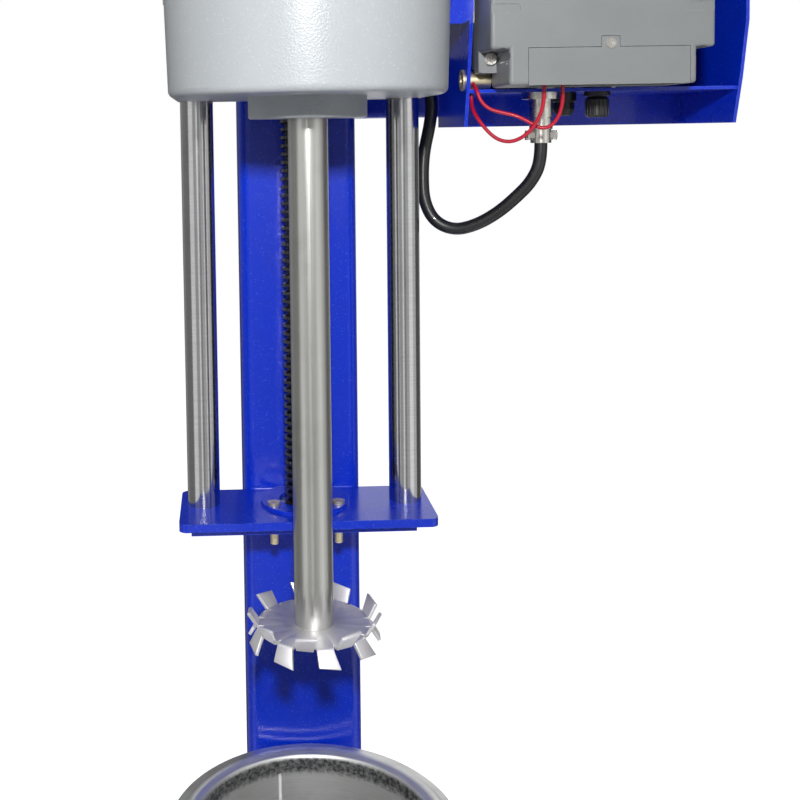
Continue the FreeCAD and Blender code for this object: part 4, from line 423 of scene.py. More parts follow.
@dataclass(frozen=True)
class Enamel(Finish):
    """Sprayed enamel with orange peel, faint dirt, sparse painted glints and edges painted lighter, partly
    as thin paint and partly as painted highlight.
    """

    colour: Colour
    shade: Colour
    # Paler colour for painted glints and for edges painted as wear and highlight.
    glint_and_wear: Colour
    roughness: float = 0.2
    spread: float = 0.1
    gloss: float = 0.4
    coat: float = 0.2
    coat_roughness: float = 0.04
    peel: float = 420.0
    hammer: float = 0.0
    depth: float = 0.06
    dirt: float = 0.5
    edge_highlight_and_wear: float = 0.35
    painted_glint: float = 0.15

    def surface(self, graph: Graph, effects: SharedEffects) -> dict[str, Value]:
        """Paint over peel, with dirt, painted glints, and edges painted lighter as wear and as highlight.

        Args:
            graph: The material's graph.
            effects: The shared node groups.

        Returns:
            Values and sockets for the shader's inputs.
        """
        dust = graph.mask(effects.dust, Scale=16.0)
        peel = graph.use(effects.peel, Scale=self.peel, Hammer=self.hammer).outputs
        edge = graph.mask(effects.worn_and_highlit_edges, Width=0.0012, Break_up=240.0)
        base = graph.blend(dust, self.colour, self.shade, self.dirt)
        # Painted glints lighten the paint in sparse cells.
        base = graph.blend(peel["Painted glint"], base, self.glint_and_wear, self.painted_glint)
        # Edges painted paler, partly as wear and partly as painted highlight.
        return {"Base Color": graph.blend(edge, base, self.glint_and_wear, self.edge_highlight_and_wear),
                "Roughness": graph.remap(dust, 0.0, 1.0, self.roughness, self.roughness + self.spread),
                "Specular IOR Level": self.gloss, "Coat Weight": self.coat,
                "Coat Roughness": self.coat_roughness,
                "Normal": graph.bump(peel["Height"], self.depth)}


@dataclass(frozen=True)
class Brushed(Finish):
    """Bare metal with brush strokes or turning marks."""

    colour: Colour
    shade: Colour
    roughness: float = 0.22
    spread: float = 0.16
    stretch: tuple[float, float, float] = (1100.0, 1100.0, 14.0)
    depth: float = 0.01
    edge: float = 0.25
    # Colour of edges painted bright, as bare metal and as painted highlight.
    bare_and_highlit_edge: Colour = (0.92, 0.92, 0.9)
    low: float = 0.3
    high: float = 0.7
    streaks: float = 0.55
    blotches: float = 0.5

    def surface(self, graph: Graph, effects: SharedEffects) -> dict[str, Value]:
        """Metal with strokes, blotches and edges painted bright, partly as bare wear and partly as painted
        highlight.

        Args:
            graph: The material's graph.
            effects: The shared node groups.

        Returns:
            Values and sockets for the shader's inputs.
        """
        strokes = graph.use(effects.strokes, Stretch=self.stretch).outputs
        edge = graph.mask(effects.worn_and_highlit_edges, Width=0.0005, Break_up=500.0)
        shine = graph.remap(strokes["Mask"], self.low, self.high)
        base = graph.blend(shine, self.colour, self.shade, self.streaks)
        blotch = graph.remap(strokes["Blotch"], 0.5, 0.75, 0.0, self.blotches)
        base = graph.blend(blotch, base, self.shade)
        # Edges painted bright, partly as bare wear and partly as painted highlight.
        base = graph.blend(edge, base, self.bare_and_highlit_edge, self.edge)
        return {"Base Color": self.tint(graph, base), "Metallic": self.metal(graph),
                "Roughness": graph.remap(strokes["Mask"], self.low, self.high, self.roughness,
                                         self.roughness + self.spread),
                "Normal": graph.bump(strokes["Mask"], self.depth)}

    def tint(self, graph: Graph, base: bpy.types.NodeSocket) -> bpy.types.NodeSocket:
        """Leave the plain metal's colour as it is."""
        return base

    def metal(self, graph: Graph) -> Value:
        """Make the whole surface metal."""
        return 1.0


@dataclass(frozen=True)
class WeldedVesselSteel(Brushed):
    """Stainless sheet with a painted glint along the upright seam and the dull zone left by the rim's weld.
    """

    zone_low: float = 168.0
    zone_high: float = 176.0
    zone_fade: float = 2.0
    ragged: float = 4.0
    zone_shade: Colour = (0.05, 0.052, 0.056)
    bore: float = 71.0
    fade: float = 1.0
    centre: Millimetres = (-1.5, -62.0, 0.0)
    seam: Millimetres = (-18.1, 7.0, 0.0)
    seam_core: float = 1.1
    seam_reach: float = 1.6
    # Colour of the painted glint along the seam.
    seam_glint: Colour = (0.98, 0.98, 0.97)

    def tint(self, graph: Graph, base: bpy.types.NodeSocket) -> bpy.types.NodeSocket:
        """Paint a glint on the seam and darken the welded zone inside the bore.

        Args:
            graph: The material's graph.
            base: The metal's colour so far.

        Returns:
            The colour with the seam's painted glint and the zone.
        """
        height = graph.height()
        rough = graph.noise(graph.place(), 420.0, 4.0, 0.7)
        waved = graph.math("ADD", height, graph.math("MULTIPLY", rough, self.ragged * MM))
        low = graph.remap(waved, self.zone_low * MM, (self.zone_low + self.ragged) * MM)
        high = graph.remap(height, (self.zone_high + self.zone_fade) * MM, self.zone_high * MM)
        inside = graph.remap(graph.radius(self.centre), (self.bore + self.fade) * MM, self.bore * MM)
        zone = graph.math("MULTIPLY", graph.math("MULTIPLY", low, high), inside)
        mottled = graph.math("MULTIPLY", zone, graph.remap(rough, 0.35, 0.6, 0.45, 0.95))
        # Painted glint: the seam's line is lightened towards a bright colour.
        with_seam_glint = graph.blend(self.seam_glint_mask(graph), base, self.seam_glint)
        return graph.blend(mottled, with_seam_glint, self.zone_shade)

    def seam_glint_mask(self, graph: Graph) -> bpy.types.NodeSocket:
        """Mask the upright seam, where a painted glint is laid in a bright colour that is dull, so the lamp
        lights it like paint.

        Args:
            graph: The material's graph.

        Returns:
            The mask.
        """
        near = graph.remap(graph.radius(self.seam), self.seam_reach * MM, self.seam_core * MM)
        below = graph.remap(graph.height(), (self.zone_low + self.fade) * MM, self.zone_low * MM)
        return graph.math("MULTIPLY", near, below)

    def metal(self, graph: Graph) -> Value:
        """Make the surface metal, save for the seam's painted glint, which scatters light."""
        return graph.remap(self.seam_glint_mask(graph), 0.0, 1.0, 1.0, 0.0)


@dataclass(frozen=True)
class ThreadSteel(Finish):
    """Blackened lead screw whose crests are painted bright, partly as wear and partly as painted glints."""

    colour: Colour = (0.018, 0.018, 0.02)
    # Colour of the crests, painted as wear and as glints.
    crest_glint_and_wear: Colour = (0.36, 0.36, 0.36)
    crest: float = 12.15
    crest_fade: float = 0.3
    metallic: float = 0.9
    depth: float = 0.02

    def surface(self, graph: Graph, effects: SharedEffects) -> dict[str, Value]:
        """Black steel, painted bright on the crests, as wear where the nut rubs it and as glints.

        Args:
            graph: The material's graph.
            effects: The shared node groups.

        Returns:
            Values and sockets for the shader's inputs.
        """
        grain = graph.mask(effects.grain, Scale=700.0, Cells=0.3)
        dust = graph.mask(effects.dust, Scale=60.0)
        crest = graph.remap(graph.radius((0, 0, 0)), (self.crest - self.crest_fade) * MM, self.crest * MM)
        # Crests painted bright, partly as wear and partly as painted glints.
        glint_and_wear = graph.math("MULTIPLY", crest, graph.remap(grain, 0.3, 0.6, 0.05, 0.4))
        return {"Base Color": graph.blend(glint_and_wear, self.colour, self.crest_glint_and_wear), "Metallic": self.metallic,
                "Roughness": graph.remap(dust, 0.0, 1.0, 0.2, 0.38),
                "Normal": graph.bump(grain, self.depth)}


@dataclass(frozen=True)
class Plated(Finish):
    """Plated or cast metal with mottling."""

    colour: Colour
    shade: Colour
    roughness: float = 0.28
    spread: float = 0.15
    scale: float = 240.0
    depth: float = 0.015
    metal: float = 1.0
    edge: float = 0.4
    bare_and_highlit_edge: Colour = (0.8, 0.8, 0.78)

    def surface(self, graph: Graph, effects: SharedEffects) -> dict[str, Value]:
        """Mottled metal with edges painted bright, partly as wear and partly as painted highlight.

        Args:
            graph: The material's graph.
            effects: The shared node groups.

        Returns:
            Values and sockets for the shader's inputs.
        """
        grain = graph.mask(effects.grain, Scale=self.scale, Cells=0.2)
        edge = graph.mask(effects.worn_and_highlit_edges, Width=0.0005, Break_up=600.0)
        base = graph.blend(graph.remap(grain, 0.35, 0.7), self.colour, self.shade)
        # Edges painted bright, partly as wear and partly as painted highlight.
        return {"Base Color": graph.blend(edge, base, self.bare_and_highlit_edge, self.edge), "Metallic": self.metal,
                "Roughness": graph.remap(grain, 0.3, 0.7, self.roughness, self.roughness + self.spread),
                "Normal": graph.bump(grain, self.depth)}


@dataclass(frozen=True)
class Moulded(Finish):
    """Moulded plastic or rubber with spark grain and edges painted paler, partly as rubbing and partly as
    painted highlight.
    """

    colour: Colour
    shade: Colour
    roughness: float = 0.42
    spread: float = 0.12
    grain: float = 1300.0
    depth: float = 0.02
    dirt: float = 0.6
    edge_highlight_and_wear: float = 0.2
    coat: float = 0.0

    def surface(self, graph: Graph, effects: SharedEffects) -> dict[str, Value]:
        """Plastic with dirt, paler along its edges, partly as rubbing and partly as painted highlight.

        Args:
            graph: The material's graph.
            effects: The shared node groups.

        Returns:
            Values and sockets for the shader's inputs.
        """
        grain = graph.mask(effects.grain, Scale=self.grain, Cells=0.4)
        dust = graph.mask(effects.dust, Scale=30.0)
        edge = graph.mask(effects.worn_and_highlit_edges, Width=0.0007, Break_up=420.0)
        # Paler edge colour, painted partly as rubbing and partly as highlight.
        rubbed_and_highlit = tuple(min(1.0, value * 1.6 + 0.05) for value in self.colour)
        base = graph.blend(dust, self.colour, self.shade, self.dirt)
        return {"Base Color": graph.blend(edge, base, rubbed_and_highlit, self.edge_highlight_and_wear),
                "Roughness": graph.remap(dust, 0.0, 1.0, self.roughness, self.roughness + self.spread),
                "Coat Weight": self.coat, "Normal": graph.bump(grain, self.depth)}


@dataclass(frozen=True)
class DisplayGlass(Finish):
    """Dark tinted window with faint wiping marks."""

    colour: Colour = (0.012, 0.01, 0.012)
    wiped: Colour = (0.03, 0.008, 0.01)
    coat: float = 0.6

    def surface(self, graph: Graph, effects: SharedEffects) -> dict[str, Value]:
        """Smooth glass, duller and redder where it was wiped.

        Args:
            graph: The material's graph.
            effects: The shared node groups.

        Returns:
            Values and sockets for the shader's inputs.
        """
        strokes = graph.use(effects.strokes, Stretch=(20.0, 20.0, 500.0)).outputs
        base = graph.blend(graph.remap(strokes["Blotch"], 0.4, 0.7), self.colour, self.wiped)
        return {"Base Color": base, "Roughness": graph.remap(strokes["Mask"], 0.3, 0.7, 0.04, 0.14),
                "Coat Weight": self.coat}


class Workshop:
    """Every finish of the disperser, built once and given to the pieces by slot name."""

    FINISHES: tuple[Finish, ...] = (
        Enamel("blue_paint", tone(3, 52, 212), tone(2, 42, 186), tone(98, 134, 240), painted_glint=0.25),
        Enamel("grey_paint", tone(184, 189, 192), tone(174, 179, 183), tone(226, 229, 231),
               roughness=0.3, coat=0.0, peel=1000.0, hammer=0.7, depth=0.11, edge_highlight_and_wear=0.5, painted_glint=0.3),
        Brushed("stainless", (0.62, 0.61, 0.6), (0.46, 0.45, 0.44), roughness=0.3),
        Brushed("shaft_steel", (0.6, 0.6, 0.57), (0.4, 0.4, 0.375), roughness=0.24),
        Brushed("disc_steel", (0.8, 0.79, 0.81), (0.64, 0.63, 0.66), roughness=0.46,
                stretch=(160.0, 160.0, 160.0), depth=0.05, edge=0.5),
        Brushed("ground_steel", (0.62, 0.62, 0.62), (0.46, 0.46, 0.47), roughness=0.11, spread=0.08,
                stretch=(40.0, 40.0, 1600.0), depth=0.003, edge=0.15),
        ThreadSteel("black_steel"),
        Plated("bearing_steel", (0.5, 0.5, 0.5), (0.38, 0.38, 0.39), roughness=0.2, depth=0.006),
        Plated("zinc", (0.8, 0.71, 0.47), (0.64, 0.55, 0.37), roughness=0.36),
        Plated("bronze", (0.55, 0.36, 0.14), (0.42, 0.26, 0.1), roughness=0.3),
        Plated("nickel", (0.68, 0.66, 0.61), (0.55, 0.53, 0.49), roughness=0.16, depth=0.008),
        Plated("aluminium", (0.62, 0.63, 0.64), (0.5, 0.51, 0.52), roughness=0.36, scale=420.0,
               depth=0.03),
        Plated("rotor_steel", (0.28, 0.28, 0.29), (0.2, 0.19, 0.19), roughness=0.4),
        Moulded("black_rubber", tone(30, 30, 31), tone(44, 44, 44), roughness=0.62, grain=900.0),
        Moulded("black_plastic", tone(24, 24, 26), tone(38, 38, 40), roughness=0.36),
        Moulded("grey_plastic", tone(138, 141, 142), tone(126, 129, 131), grain=1500.0, depth=0.03,
                edge_highlight_and_wear=0.4),
        Moulded("dark_panel", tone(46, 50, 54), tone(58, 62, 66), roughness=0.4, grain=1700.0),
        DisplayGlass("window"),
        Moulded("green_key", tone(28, 128, 66), tone(24, 106, 56), roughness=0.4),
        Moulded("red_key", tone(190, 30, 32), tone(160, 24, 27), roughness=0.4),
        Moulded("grey_key", tone(150, 154, 156), tone(132, 136, 139)),
        Moulded("black_cable", tone(20, 20, 22), tone(34, 34, 36), roughness=0.3, grain=1000.0,
                coat=0.2),
        Moulded("red_wire", tone(200, 6, 48), tone(168, 4, 38), roughness=0.4, grain=1200.0, coat=0.1),
        Plated("cast_black", (0.02, 0.02, 0.022), (0.035, 0.035, 0.037), roughness=0.32, scale=300.0,
               depth=0.05, metal=0.0),
        WeldedVesselSteel("vessel_steel", (0.76, 0.76, 0.75), (0.54, 0.54, 0.53), roughness=0.36,
                          stretch=(60.0, 60.0, 1500.0), depth=0.06),
    )
    OWN = {"vessel": "vessel_steel", "spindle": "shaft_steel", "disperser_disc": "disc_steel",
           "drive_screws": "nickel"}

    def __init__(self) -> None:
        """Build the shared effects and every finish."""
        effects = SharedEffects()
        self.materials = {finish.name: finish.build(effects) for finish in self.FINISHES}

    def dress(self, nodes: dict[str, bpy.types.Object]) -> None:
        """Give each carried-over node its own finish, or else the one that its slot names.

        Args:
            nodes: The part's nodes by name.
        """
        for name, node in nodes.items():
            for slot in node.material_slots:
                slot.material = self.materials[self.OWN.get(name, slot.material.name)]
        LOG.info("finishes on %d nodes", len(nodes))


class Maker:
    """Turns finished mesh forms into pieces that ride on their bodies."""

    MERGE = 2e-6
    BEAD_SIDES = 12
    BEAD_TROUGH = 0.82
    BEAD_TIP = 0.5

    def __init__(self, workshop: Workshop) -> None:
        """Keep the finishes."""
        self.workshop = workshop

    def piece(self, form: bmesh.types.BMesh, name: str, body: Body, slot: str, sharp: float = 35.0,
              finish: Optional[str] = None) -> bpy.types.Object:
        """Make a piece from a mesh form.

        Args:
            form: The form, in metres in the part's frame.
            name: The piece's name.
            body: The body that it rides on.
            slot: The finish, which is also a slot of the record.
            sharp: Angle in degrees above which an edge stays sharp.
            finish: A closer finish than the slot's own.

        Returns:
            The new piece.
        """
        bmesh.ops.remove_doubles(form, verts=form.verts, dist=self.MERGE)
        bmesh.ops.recalc_face_normals(form, faces=form.faces)
        mesh = bpy.data.meshes.new(name)
        form.to_mesh(mesh)
        form.free()
        mesh.shade_smooth()
        mesh.set_sharp_from_angle(angle=math.radians(sharp))
        mesh.materials.append(self.workshop.materials[finish or slot])
        piece = bpy.data.objects.new(name, mesh)
        bpy.context.scene.collection.objects.link(piece)
        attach(piece, body.value)
        LOG.info("%s: %d faces on %s", name, len(mesh.polygons), body.value)
        return piece

    @staticmethod
    def lathe(form: bmesh.types.BMesh, profile: Sequence[tuple[float, float]], axis: Vector,
              steps: int = 48) -> None:
        """Turn a profile about an upright axis.

        Args:
            form: The form that it is added to.
            profile: Radius and height pairs in millimetres from the axis point.
            axis: The axis point in metres.
            steps: Sides of the turned piece.
        """
        points = [form.verts.new((axis.x + radius * MM, axis.y, axis.z + height * MM))
                  for radius, height in profile]
        edges = [form.edges.new(pair) for pair in zip(points, points[1:])]
        bmesh.ops.spin(form, geom=points + edges, cent=axis, axis=(0, 0, 1), angle=math.tau, steps=steps,
                       use_merge=True)

    @staticmethod
    def prism(form: bmesh.types.BMesh, corners: Sequence[Vector], push: Vector) -> None:
        """Raise a flat outline into a prism.

        Args:
            form: The form that it is added to.
            corners: The outline's corners in metres.
            push: How far and which way it is raised, in metres.
        """
        face = form.faces.new([form.verts.new(corner) for corner in corners])
        raised = bmesh.ops.extrude_face_region(form, geom=[face])
        moved = [item for item in raised["geom"] if isinstance(item, bmesh.types.BMVert)]
        bmesh.ops.translate(form, verts=moved, vec=push)

    @classmethod
    def bead(cls, form: bmesh.types.BMesh, start: Vector, end: Vector, radius: float,
             step: float = 1.6) -> None:
        """Lay a rippled weld bead along a straight line.

        Args:
            form: The form that it is added to.
            start: First point in metres.
            end: Last point in metres.
            radius: The bead's radius in millimetres.
            step: Length of one ripple in millimetres.
        """
        run = end - start
        turn = Vector((0, 0, 1)).rotation_difference(run.normalized()).to_matrix()
        ring = bmesh.ops.create_circle(form, cap_ends=True, radius=radius * MM * cls.BEAD_TIP,
                                       segments=cls.BEAD_SIDES)["verts"]
        bmesh.ops.rotate(form, verts=ring, cent=(0, 0, 0), matrix=turn)
        bmesh.ops.translate(form, verts=ring, vec=start)
        count = max(4, round(run.length / (step * MM)))
        edges = list({edge for vert in ring for edge in vert.link_edges})
        for index in range(count):
            raised = bmesh.ops.extrude_edge_only(form, edges=edges)["geom"]
            verts = [item for item in raised if isinstance(item, bmesh.types.BMVert)]
            edges = [item for item in raised if isinstance(item, bmesh.types.BMEdge)
                     and item.verts[0] in verts and item.verts[1] in verts]
            bmesh.ops.translate(form, verts=verts, vec=run / count)
            centre = start + run * (index + 1) / count
            wanted = 1.0 if index % 2 else cls.BEAD_TROUGH
            if index == count - 1:
                wanted = cls.BEAD_TIP
            now = (verts[0].co - centre).length / (radius * MM)
            bmesh.ops.scale(form, verts=verts, vec=Vector((1, 1, 1)) * (wanted / now),
                            space=Matrix.Translation(-centre))
        bmesh.ops.holes_fill(form, edges=edges, sides=0)


@dataclass
class LiftScrew:
    """The lead screw with its trapezoidal thread, its journals and its stub."""

    major: float = 12.4
    minor: float = 9.8
    pitch: float = 5.0
    crest: float = 1.83
    flank: float = 0.67
    low: float = 0.1
    high: float = 518.5
    journal: float = 7.45
    journal_low: float = -10.0
    hub_low: float = 536.0
    hub_radius: float = 6.0
    nut_low: float = 561.0
    stub_radius: float = 5.0
    top: float = 572.0
    chamfer: float = 0.5
    overlap: float = 1.0
    steps: int = 24

    def thread(self, form: bmesh.types.BMesh) -> None:
        """Sweep one turn's profile up the screw and trim both ends.

        Args:
            form: The form that the thread is added to.
        """
        heights = (0.0, self.crest, self.crest + self.flank, 2 * self.crest + self.flank, self.pitch)
        radii = (self.minor, self.minor, self.major, self.major, self.minor)
        first = self.low - 2 * self.pitch
        points = [form.verts.new(at(radius, 0, first + height)) for radius, height in zip(radii, heights)]
        edges = [form.edges.new(pair) for pair in zip(points, points[1:])]
        turns = math.ceil((self.high - self.low) / self.pitch) + 3
        bmesh.ops.spin(form, geom=points + edges, cent=(0, 0, 0), axis=(0, 0, 1), angle=math.tau * turns,
                       steps=self.steps * turns, dvec=(0, 0, self.pitch * MM / self.steps))
        bmesh.ops.remove_doubles(form, verts=form.verts, dist=4e-6)
        for level, normal in ((self.low, (0, 0, -1)), (self.high, (0, 0, 1))):
            cut = bmesh.ops.bisect_plane(form, geom=[*form.verts, *form.edges, *form.faces],
                                         plane_co=at(0, 0, level), plane_no=normal, clear_outer=True)
            rim = [item for item in cut["geom_cut"] if isinstance(item, bmesh.types.BMEdge)]
            bmesh.ops.holes_fill(form, edges=rim, sides=0)

    def build(self, maker: Maker) -> bpy.types.Object:
        """Build the screw.

        Args:
            maker: The maker of pieces.

        Returns:
            The screw.
        """
        form = bmesh.new()
        self.thread(form)
        foot_top = self.low + self.overlap
        maker.lathe(form, [(0, self.journal_low), (self.journal - self.chamfer, self.journal_low),
                           (self.journal, self.journal_low + self.chamfer), (self.journal, foot_top),
                           (0, foot_top)], at(0, 0, 0))
        stub_low = self.high - self.overlap
        tip = 2 * self.chamfer
        maker.lathe(form, [(0, stub_low), (self.journal, stub_low), (self.journal, self.hub_low),
                           (self.hub_radius, self.hub_low), (self.hub_radius, self.nut_low),
                           (self.stub_radius, self.nut_low), (self.stub_radius, self.top - tip),
                           (self.stub_radius - tip, self.top), (0, self.top)], at(0, 0, 0))
        screw = maker.piece(form, "threaded_lead_screw", Body.SCREW, "black_steel", sharp=28)
        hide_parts("lead_screw")
        return screw


@dataclass
class DispersingDisc:
    """The saw-toothed disc, cut and bent from one sheet."""

    reach: float = 60.5
    level: float = -50.3
    thick: float = 2.0
    seat: float = 8.0
    bend_start: float = 31.05
    bend: float = 1.6
    root: float = 9.4
    flare: float = 2.6
    short_side: float = 7.9
    long_side: float = 9.8
    splay: float = 31.0
    notch: float = 28.8
    shoulder: float = 0.5
    waist: float = 0.62
    rounding: float = 0.3
    sharp: float = 50.0
    pairs: int = 9
    phase: float = -14.0
    sweep: float = 3.0
    bend_steps: int = 5
    tooth_steps: int = 3

    def section(self, step: int, length: float) -> tuple[float, float]:
        """Where the bent sheet runs at one step from the plate to the tooth's tip.

        Args:
            step: The step, up to bend_steps round the bend and then along the tooth.
            length: The tooth's length beyond the bend.

        Returns:
            Distance from the axis and rise above the plate.
        """
        turn = math.radians(90 - self.splay) * min(step, self.bend_steps) / self.bend_steps
        out = self.bend_start + self.bend * math.sin(turn)
        rise = self.bend * (1 - math.cos(turn))
        along = length * max(0, step - self.bend_steps) / self.tooth_steps
        lean = math.radians(self.splay)
        return out + along * math.sin(lean), rise + along * math.cos(lean)

    def sector(self, form: bmesh.types.BMesh, angle: float, side: int) -> None:
        """Add one slice of the disc with its bent tooth.

        Args:
            form: The form that the slice is added to.
            angle: Its middle, in degrees from the front towards the right.
            side: 1 for a tooth bent up, -1 for one bent down.
        """
        half = math.radians(90 / self.pairs)
        inner = [(self.seat * math.sin(turn), self.seat * math.cos(turn)) for turn in (-half, 0, half)]
        waist = self.waist * self.notch
        middle = [(waist * math.sin(turn), waist * math.cos(turn)) for turn in (half, -half)]
        notch = (self.notch * math.sin(half), self.notch * math.cos(half))
        shoulder = notch[1] + self.shoulder
        outline = [*inner, middle[0], notch, (self.root / 2, shoulder), (self.root / 2, self.bend_start),
                   (-self.root / 2, self.bend_start), (-self.root / 2, shoulder), (-notch[0], notch[1]),
                   middle[1]]
        verts = [form.verts.new((across * MM, -out * MM, 0)) for across, out in outline]
        form.faces.new(verts)
        edge = form.edges.get((verts[6], verts[7]))
        added = list(verts)
        for step in range(1, self.bend_steps + self.tooth_steps + 1):
            raised = bmesh.ops.extrude_edge_only(form, edges=[edge])["geom"]
            pair = [item for item in raised if isinstance(item, bmesh.types.BMVert)]
            edge = form.edges.get(pair)
            added += pair
            pair.sort(key=lambda vert: vert.co.x)
            share = max(0, step - self.bend_steps) / self.tooth_steps
            ends = ((-self.root / 2, self.short_side), (self.root / 2 + self.flare * share, self.long_side))
            for vert, (across, length) in zip(pair, ends):
                out, rise = self.section(step, length)
                vert.co = Vector((across * MM, -out * MM, side * rise * MM))
            twist = Matrix.Rotation(math.radians(self.sweep * share), 3, "Z")
            bmesh.ops.rotate(form, verts=pair, cent=(0, -self.bend_start * MM, 0), matrix=twist)
        bmesh.ops.rotate(form, verts=added, cent=(0, 0, 0),
                         matrix=Matrix.Rotation(math.radians(angle), 3, "Z"))

    def build(self, maker: Maker) -> bpy.types.Object:
        """Build the disc.

        Args:
            maker: The maker of pieces.

        Returns:
            The disc.
        """
        form = bmesh.new()
        for index in range(2 * self.pairs):
            self.sector(form, self.phase + index * 180 / self.pairs, 1 if index % 2 == 0 else -1)
        bmesh.ops.remove_doubles(form, verts=form.verts, dist=5e-5)
        bmesh.ops.recalc_face_normals(form, faces=form.faces)
        bmesh.ops.translate(form, verts=form.verts, vec=at(0, -self.reach, self.level))
        disc = maker.piece(form, "toothed_disc", Body.SPINDLE, "stainless", sharp=12, finish="disc_steel")
        sheet = disc.modifiers.new("sheet", "SOLIDIFY")
        sheet.thickness = self.thick * MM
        sheet.offset = 0.0
        sheet.use_even_offset = True
        edge = disc.modifiers.new("edges", "BEVEL")
        edge.width = self.rounding * MM
        edge.segments = 2
        edge.limit_method = "ANGLE"
        edge.angle_limit = math.radians(self.sharp)
        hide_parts("disperser_disc")
        return disc


@dataclass
class FrameWelds:
    """Weld beads between the column and what is welded to its front."""

    half: float = 33.0
    front: float = 24.6
    levels: tuple[float, ...] = (0.0, -10.0, 523.0)
    radius: float = 1.9

    def build(self, maker: Maker) -> bpy.types.Object:
        """Lay the beads.

        Args:
            maker: The maker of pieces.

        Returns:
            The beads as one piece.
        """
        form = bmesh.new()
        for level in self.levels:
            maker.bead(form, at(-self.half, self.front, level), at(self.half, self.front, level),
                       self.radius)
        return maker.piece(form, "column_welds", Body.STAND, "blue_paint", sharp=60)


@dataclass
class Vessel:
    """The vessel with its rolled rim, in millimetres above the base's underside."""

    centre_x: float = -1.5
    centre_y: float = -62.0
    bore: float = 70.0
    wall: float = 2.0
    floor: float = 20.0
    rim: float = 85.2
    rim_low: float = 174.0
    top: float = 180.0

    def rim_profile(self) -> list[tuple[float, float]]:
        """The rim from under its flange, over the raised ring, down to the bore."""
        rise = self.rim_low
        return [(self.bore + self.wall, rise - 3), (self.bore + self.wall + 0.8, rise - 0.6),
                (self.bore + self.wall + 2.2, rise), (self.rim - 1.4, rise), (self.rim - 0.4, rise + 0.4),
                (self.rim, rise + 1.2), (self.rim, rise + 3.3), (self.rim - 0.3, rise + 3.8),
                (self.rim - 0.9, rise + 4.0), (81.0, rise + 4.0), (80.5, rise + 4.2), (80.0, rise + 4.8),
                (79.2, rise + 5.5), (77.8, self.top - 0.08), (76.2, self.top), (74.6, self.top - 0.2),
                (73.3, self.top - 0.8), (72.6, self.top - 1.2), (72.0, self.top - 1.3),
                (71.2, self.top - 1.9), (70.5, self.top - 3.0), (self.bore, self.top - 4.6)]

    def build(self, maker: Maker) -> bpy.types.Object:
        """Turn the vessel.

        Args:
            maker: The maker of pieces.

        Returns:
            The vessel.
        """
        form = bmesh.new()
        outside = self.bore + self.wall
        profile = [(0, self.floor), (outside - 4, self.floor), (outside - 1.2, self.floor + 1.2),
                   (outside, self.floor + 4), *self.rim_profile(), (self.bore, self.floor + 6),
                   (self.bore - 1.2, self.floor + 3.2), (self.bore - 4, self.floor + 2), (0, self.floor + 2)]
        maker.lathe(form, profile, Vector((self.centre_x * MM, self.centre_y * MM, 0)), steps=128)
        vessel = maker.piece(form, "rolled_vessel", Body.STAND, "stainless", sharp=30,
                             finish="vessel_steel")
        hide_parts("vessel")
        return vessel


@dataclass
class PanelMarks:
    """Plain marks on the keys, a pointer on the knob and ticks round it."""

    right_key: float = 178.6
    left_key: float = 150.6
    key_front: float = -66.5
    panel_front: float = -65.0
    knob_x: float = 181.1
    knob_z: float = 332.0
    knob_front: float = -78.3
    proud: float = 0.25
    arrow: float = 2.4
    square: float = 2.0
    ticks: int = 11
    first_tick: float = 240.0
    tick_step: float = 30.0
    tick_half: float = 0.3
    tick_reach: tuple[float, float] = (11.4, 13.4)
    pointer_half: float = 0.5
    pointer_reach: tuple[float, float] = (2.5, 8.2)

    def marks(self, maker: Maker, name: str, body: Body, slot: str, front: float,
              outlines: Sequence[Sequence[tuple[float, float]]]) -> None:
        """Raise flat marks towards the operator, as one piece.

        Args:
            maker: The maker of pieces.
            name: The piece's name.
            body: The body that it rides on.
            slot: Its finish.
            front: The plane that it stands on.
            outlines: Each mark's corners, as X and Z pairs in millimetres.
        """
        form = bmesh.new()
        for corners in outlines:
            maker.prism(form, [at(x, front, z) for x, z in corners], Vector((0, -self.proud * MM, 0)))
        maker.piece(form, name, body, slot)

    def keys(self, maker: Maker) -> None:
        """Mark the four keys.

        Args:
            maker: The maker of pieces.
        """
        right, left, arrow, square = self.right_key, self.left_key, self.arrow, self.square
        up = [(right - arrow, 370.2), (right + arrow, 370.2), (right, 374.0)]
        down = [(left - arrow, 373.8), (left, 370.0), (left + arrow, 373.8)]
        run = [(left - 1.8, 345.6), (left + 2.6, 348.0), (left - 1.8, 350.4)]
        stop = [(left - square, 328.0), (left + square, 328.0), (left + square, 332.0),
                (left - square, 332.0)]
        rows = (("up_mark", up, Body.UP_KEY, "black_plastic"),
                ("down_mark", down, Body.DOWN_KEY, "black_plastic"),
                ("run_mark", run, Body.RUN_KEY, "grey_key"), ("stop_mark", stop, Body.STOP_KEY, "grey_key"))
        for name, corners, body, slot in rows:
            self.marks(maker, name, body, slot, self.key_front, [corners])

    def dial(self, maker: Maker) -> None:
        """Put ticks on the panel and a pointer on the knob.

        Args:
            maker: The maker of pieces.
        """
        near, far = self.tick_reach
        centre = Vector((self.knob_x, 0, self.knob_z))
        ticks = []
        for index in range(self.ticks):
            turn = math.radians(self.first_tick - self.tick_step * index)
            along = Vector((math.cos(turn), 0, math.sin(turn)))
            side = Vector((-along.z, 0, along.x)) * self.tick_half
            corners = [centre + along * near + side, centre + along * far + side,
                       centre + along * far - side, centre + along * near - side]
            ticks.append([(corner.x, corner.z) for corner in corners])
        self.marks(maker, "knob_ticks", Body.STAND, "grey_key", self.panel_front, ticks)
        left, right = self.knob_x - self.pointer_half, self.knob_x + self.pointer_half
        low, high = (self.knob_z + reach for reach in self.pointer_reach)
        pointer = [(left, low), (right, low), (right, high), (left, high)]
        self.marks(maker, "knob_pointer", Body.SPEED_KNOB, "grey_key", self.knob_front, [pointer])


class Stiffness(Enum):
    """How readily a cord bends."""

    LIMP = "limp"
    MEDIUM = "medium"


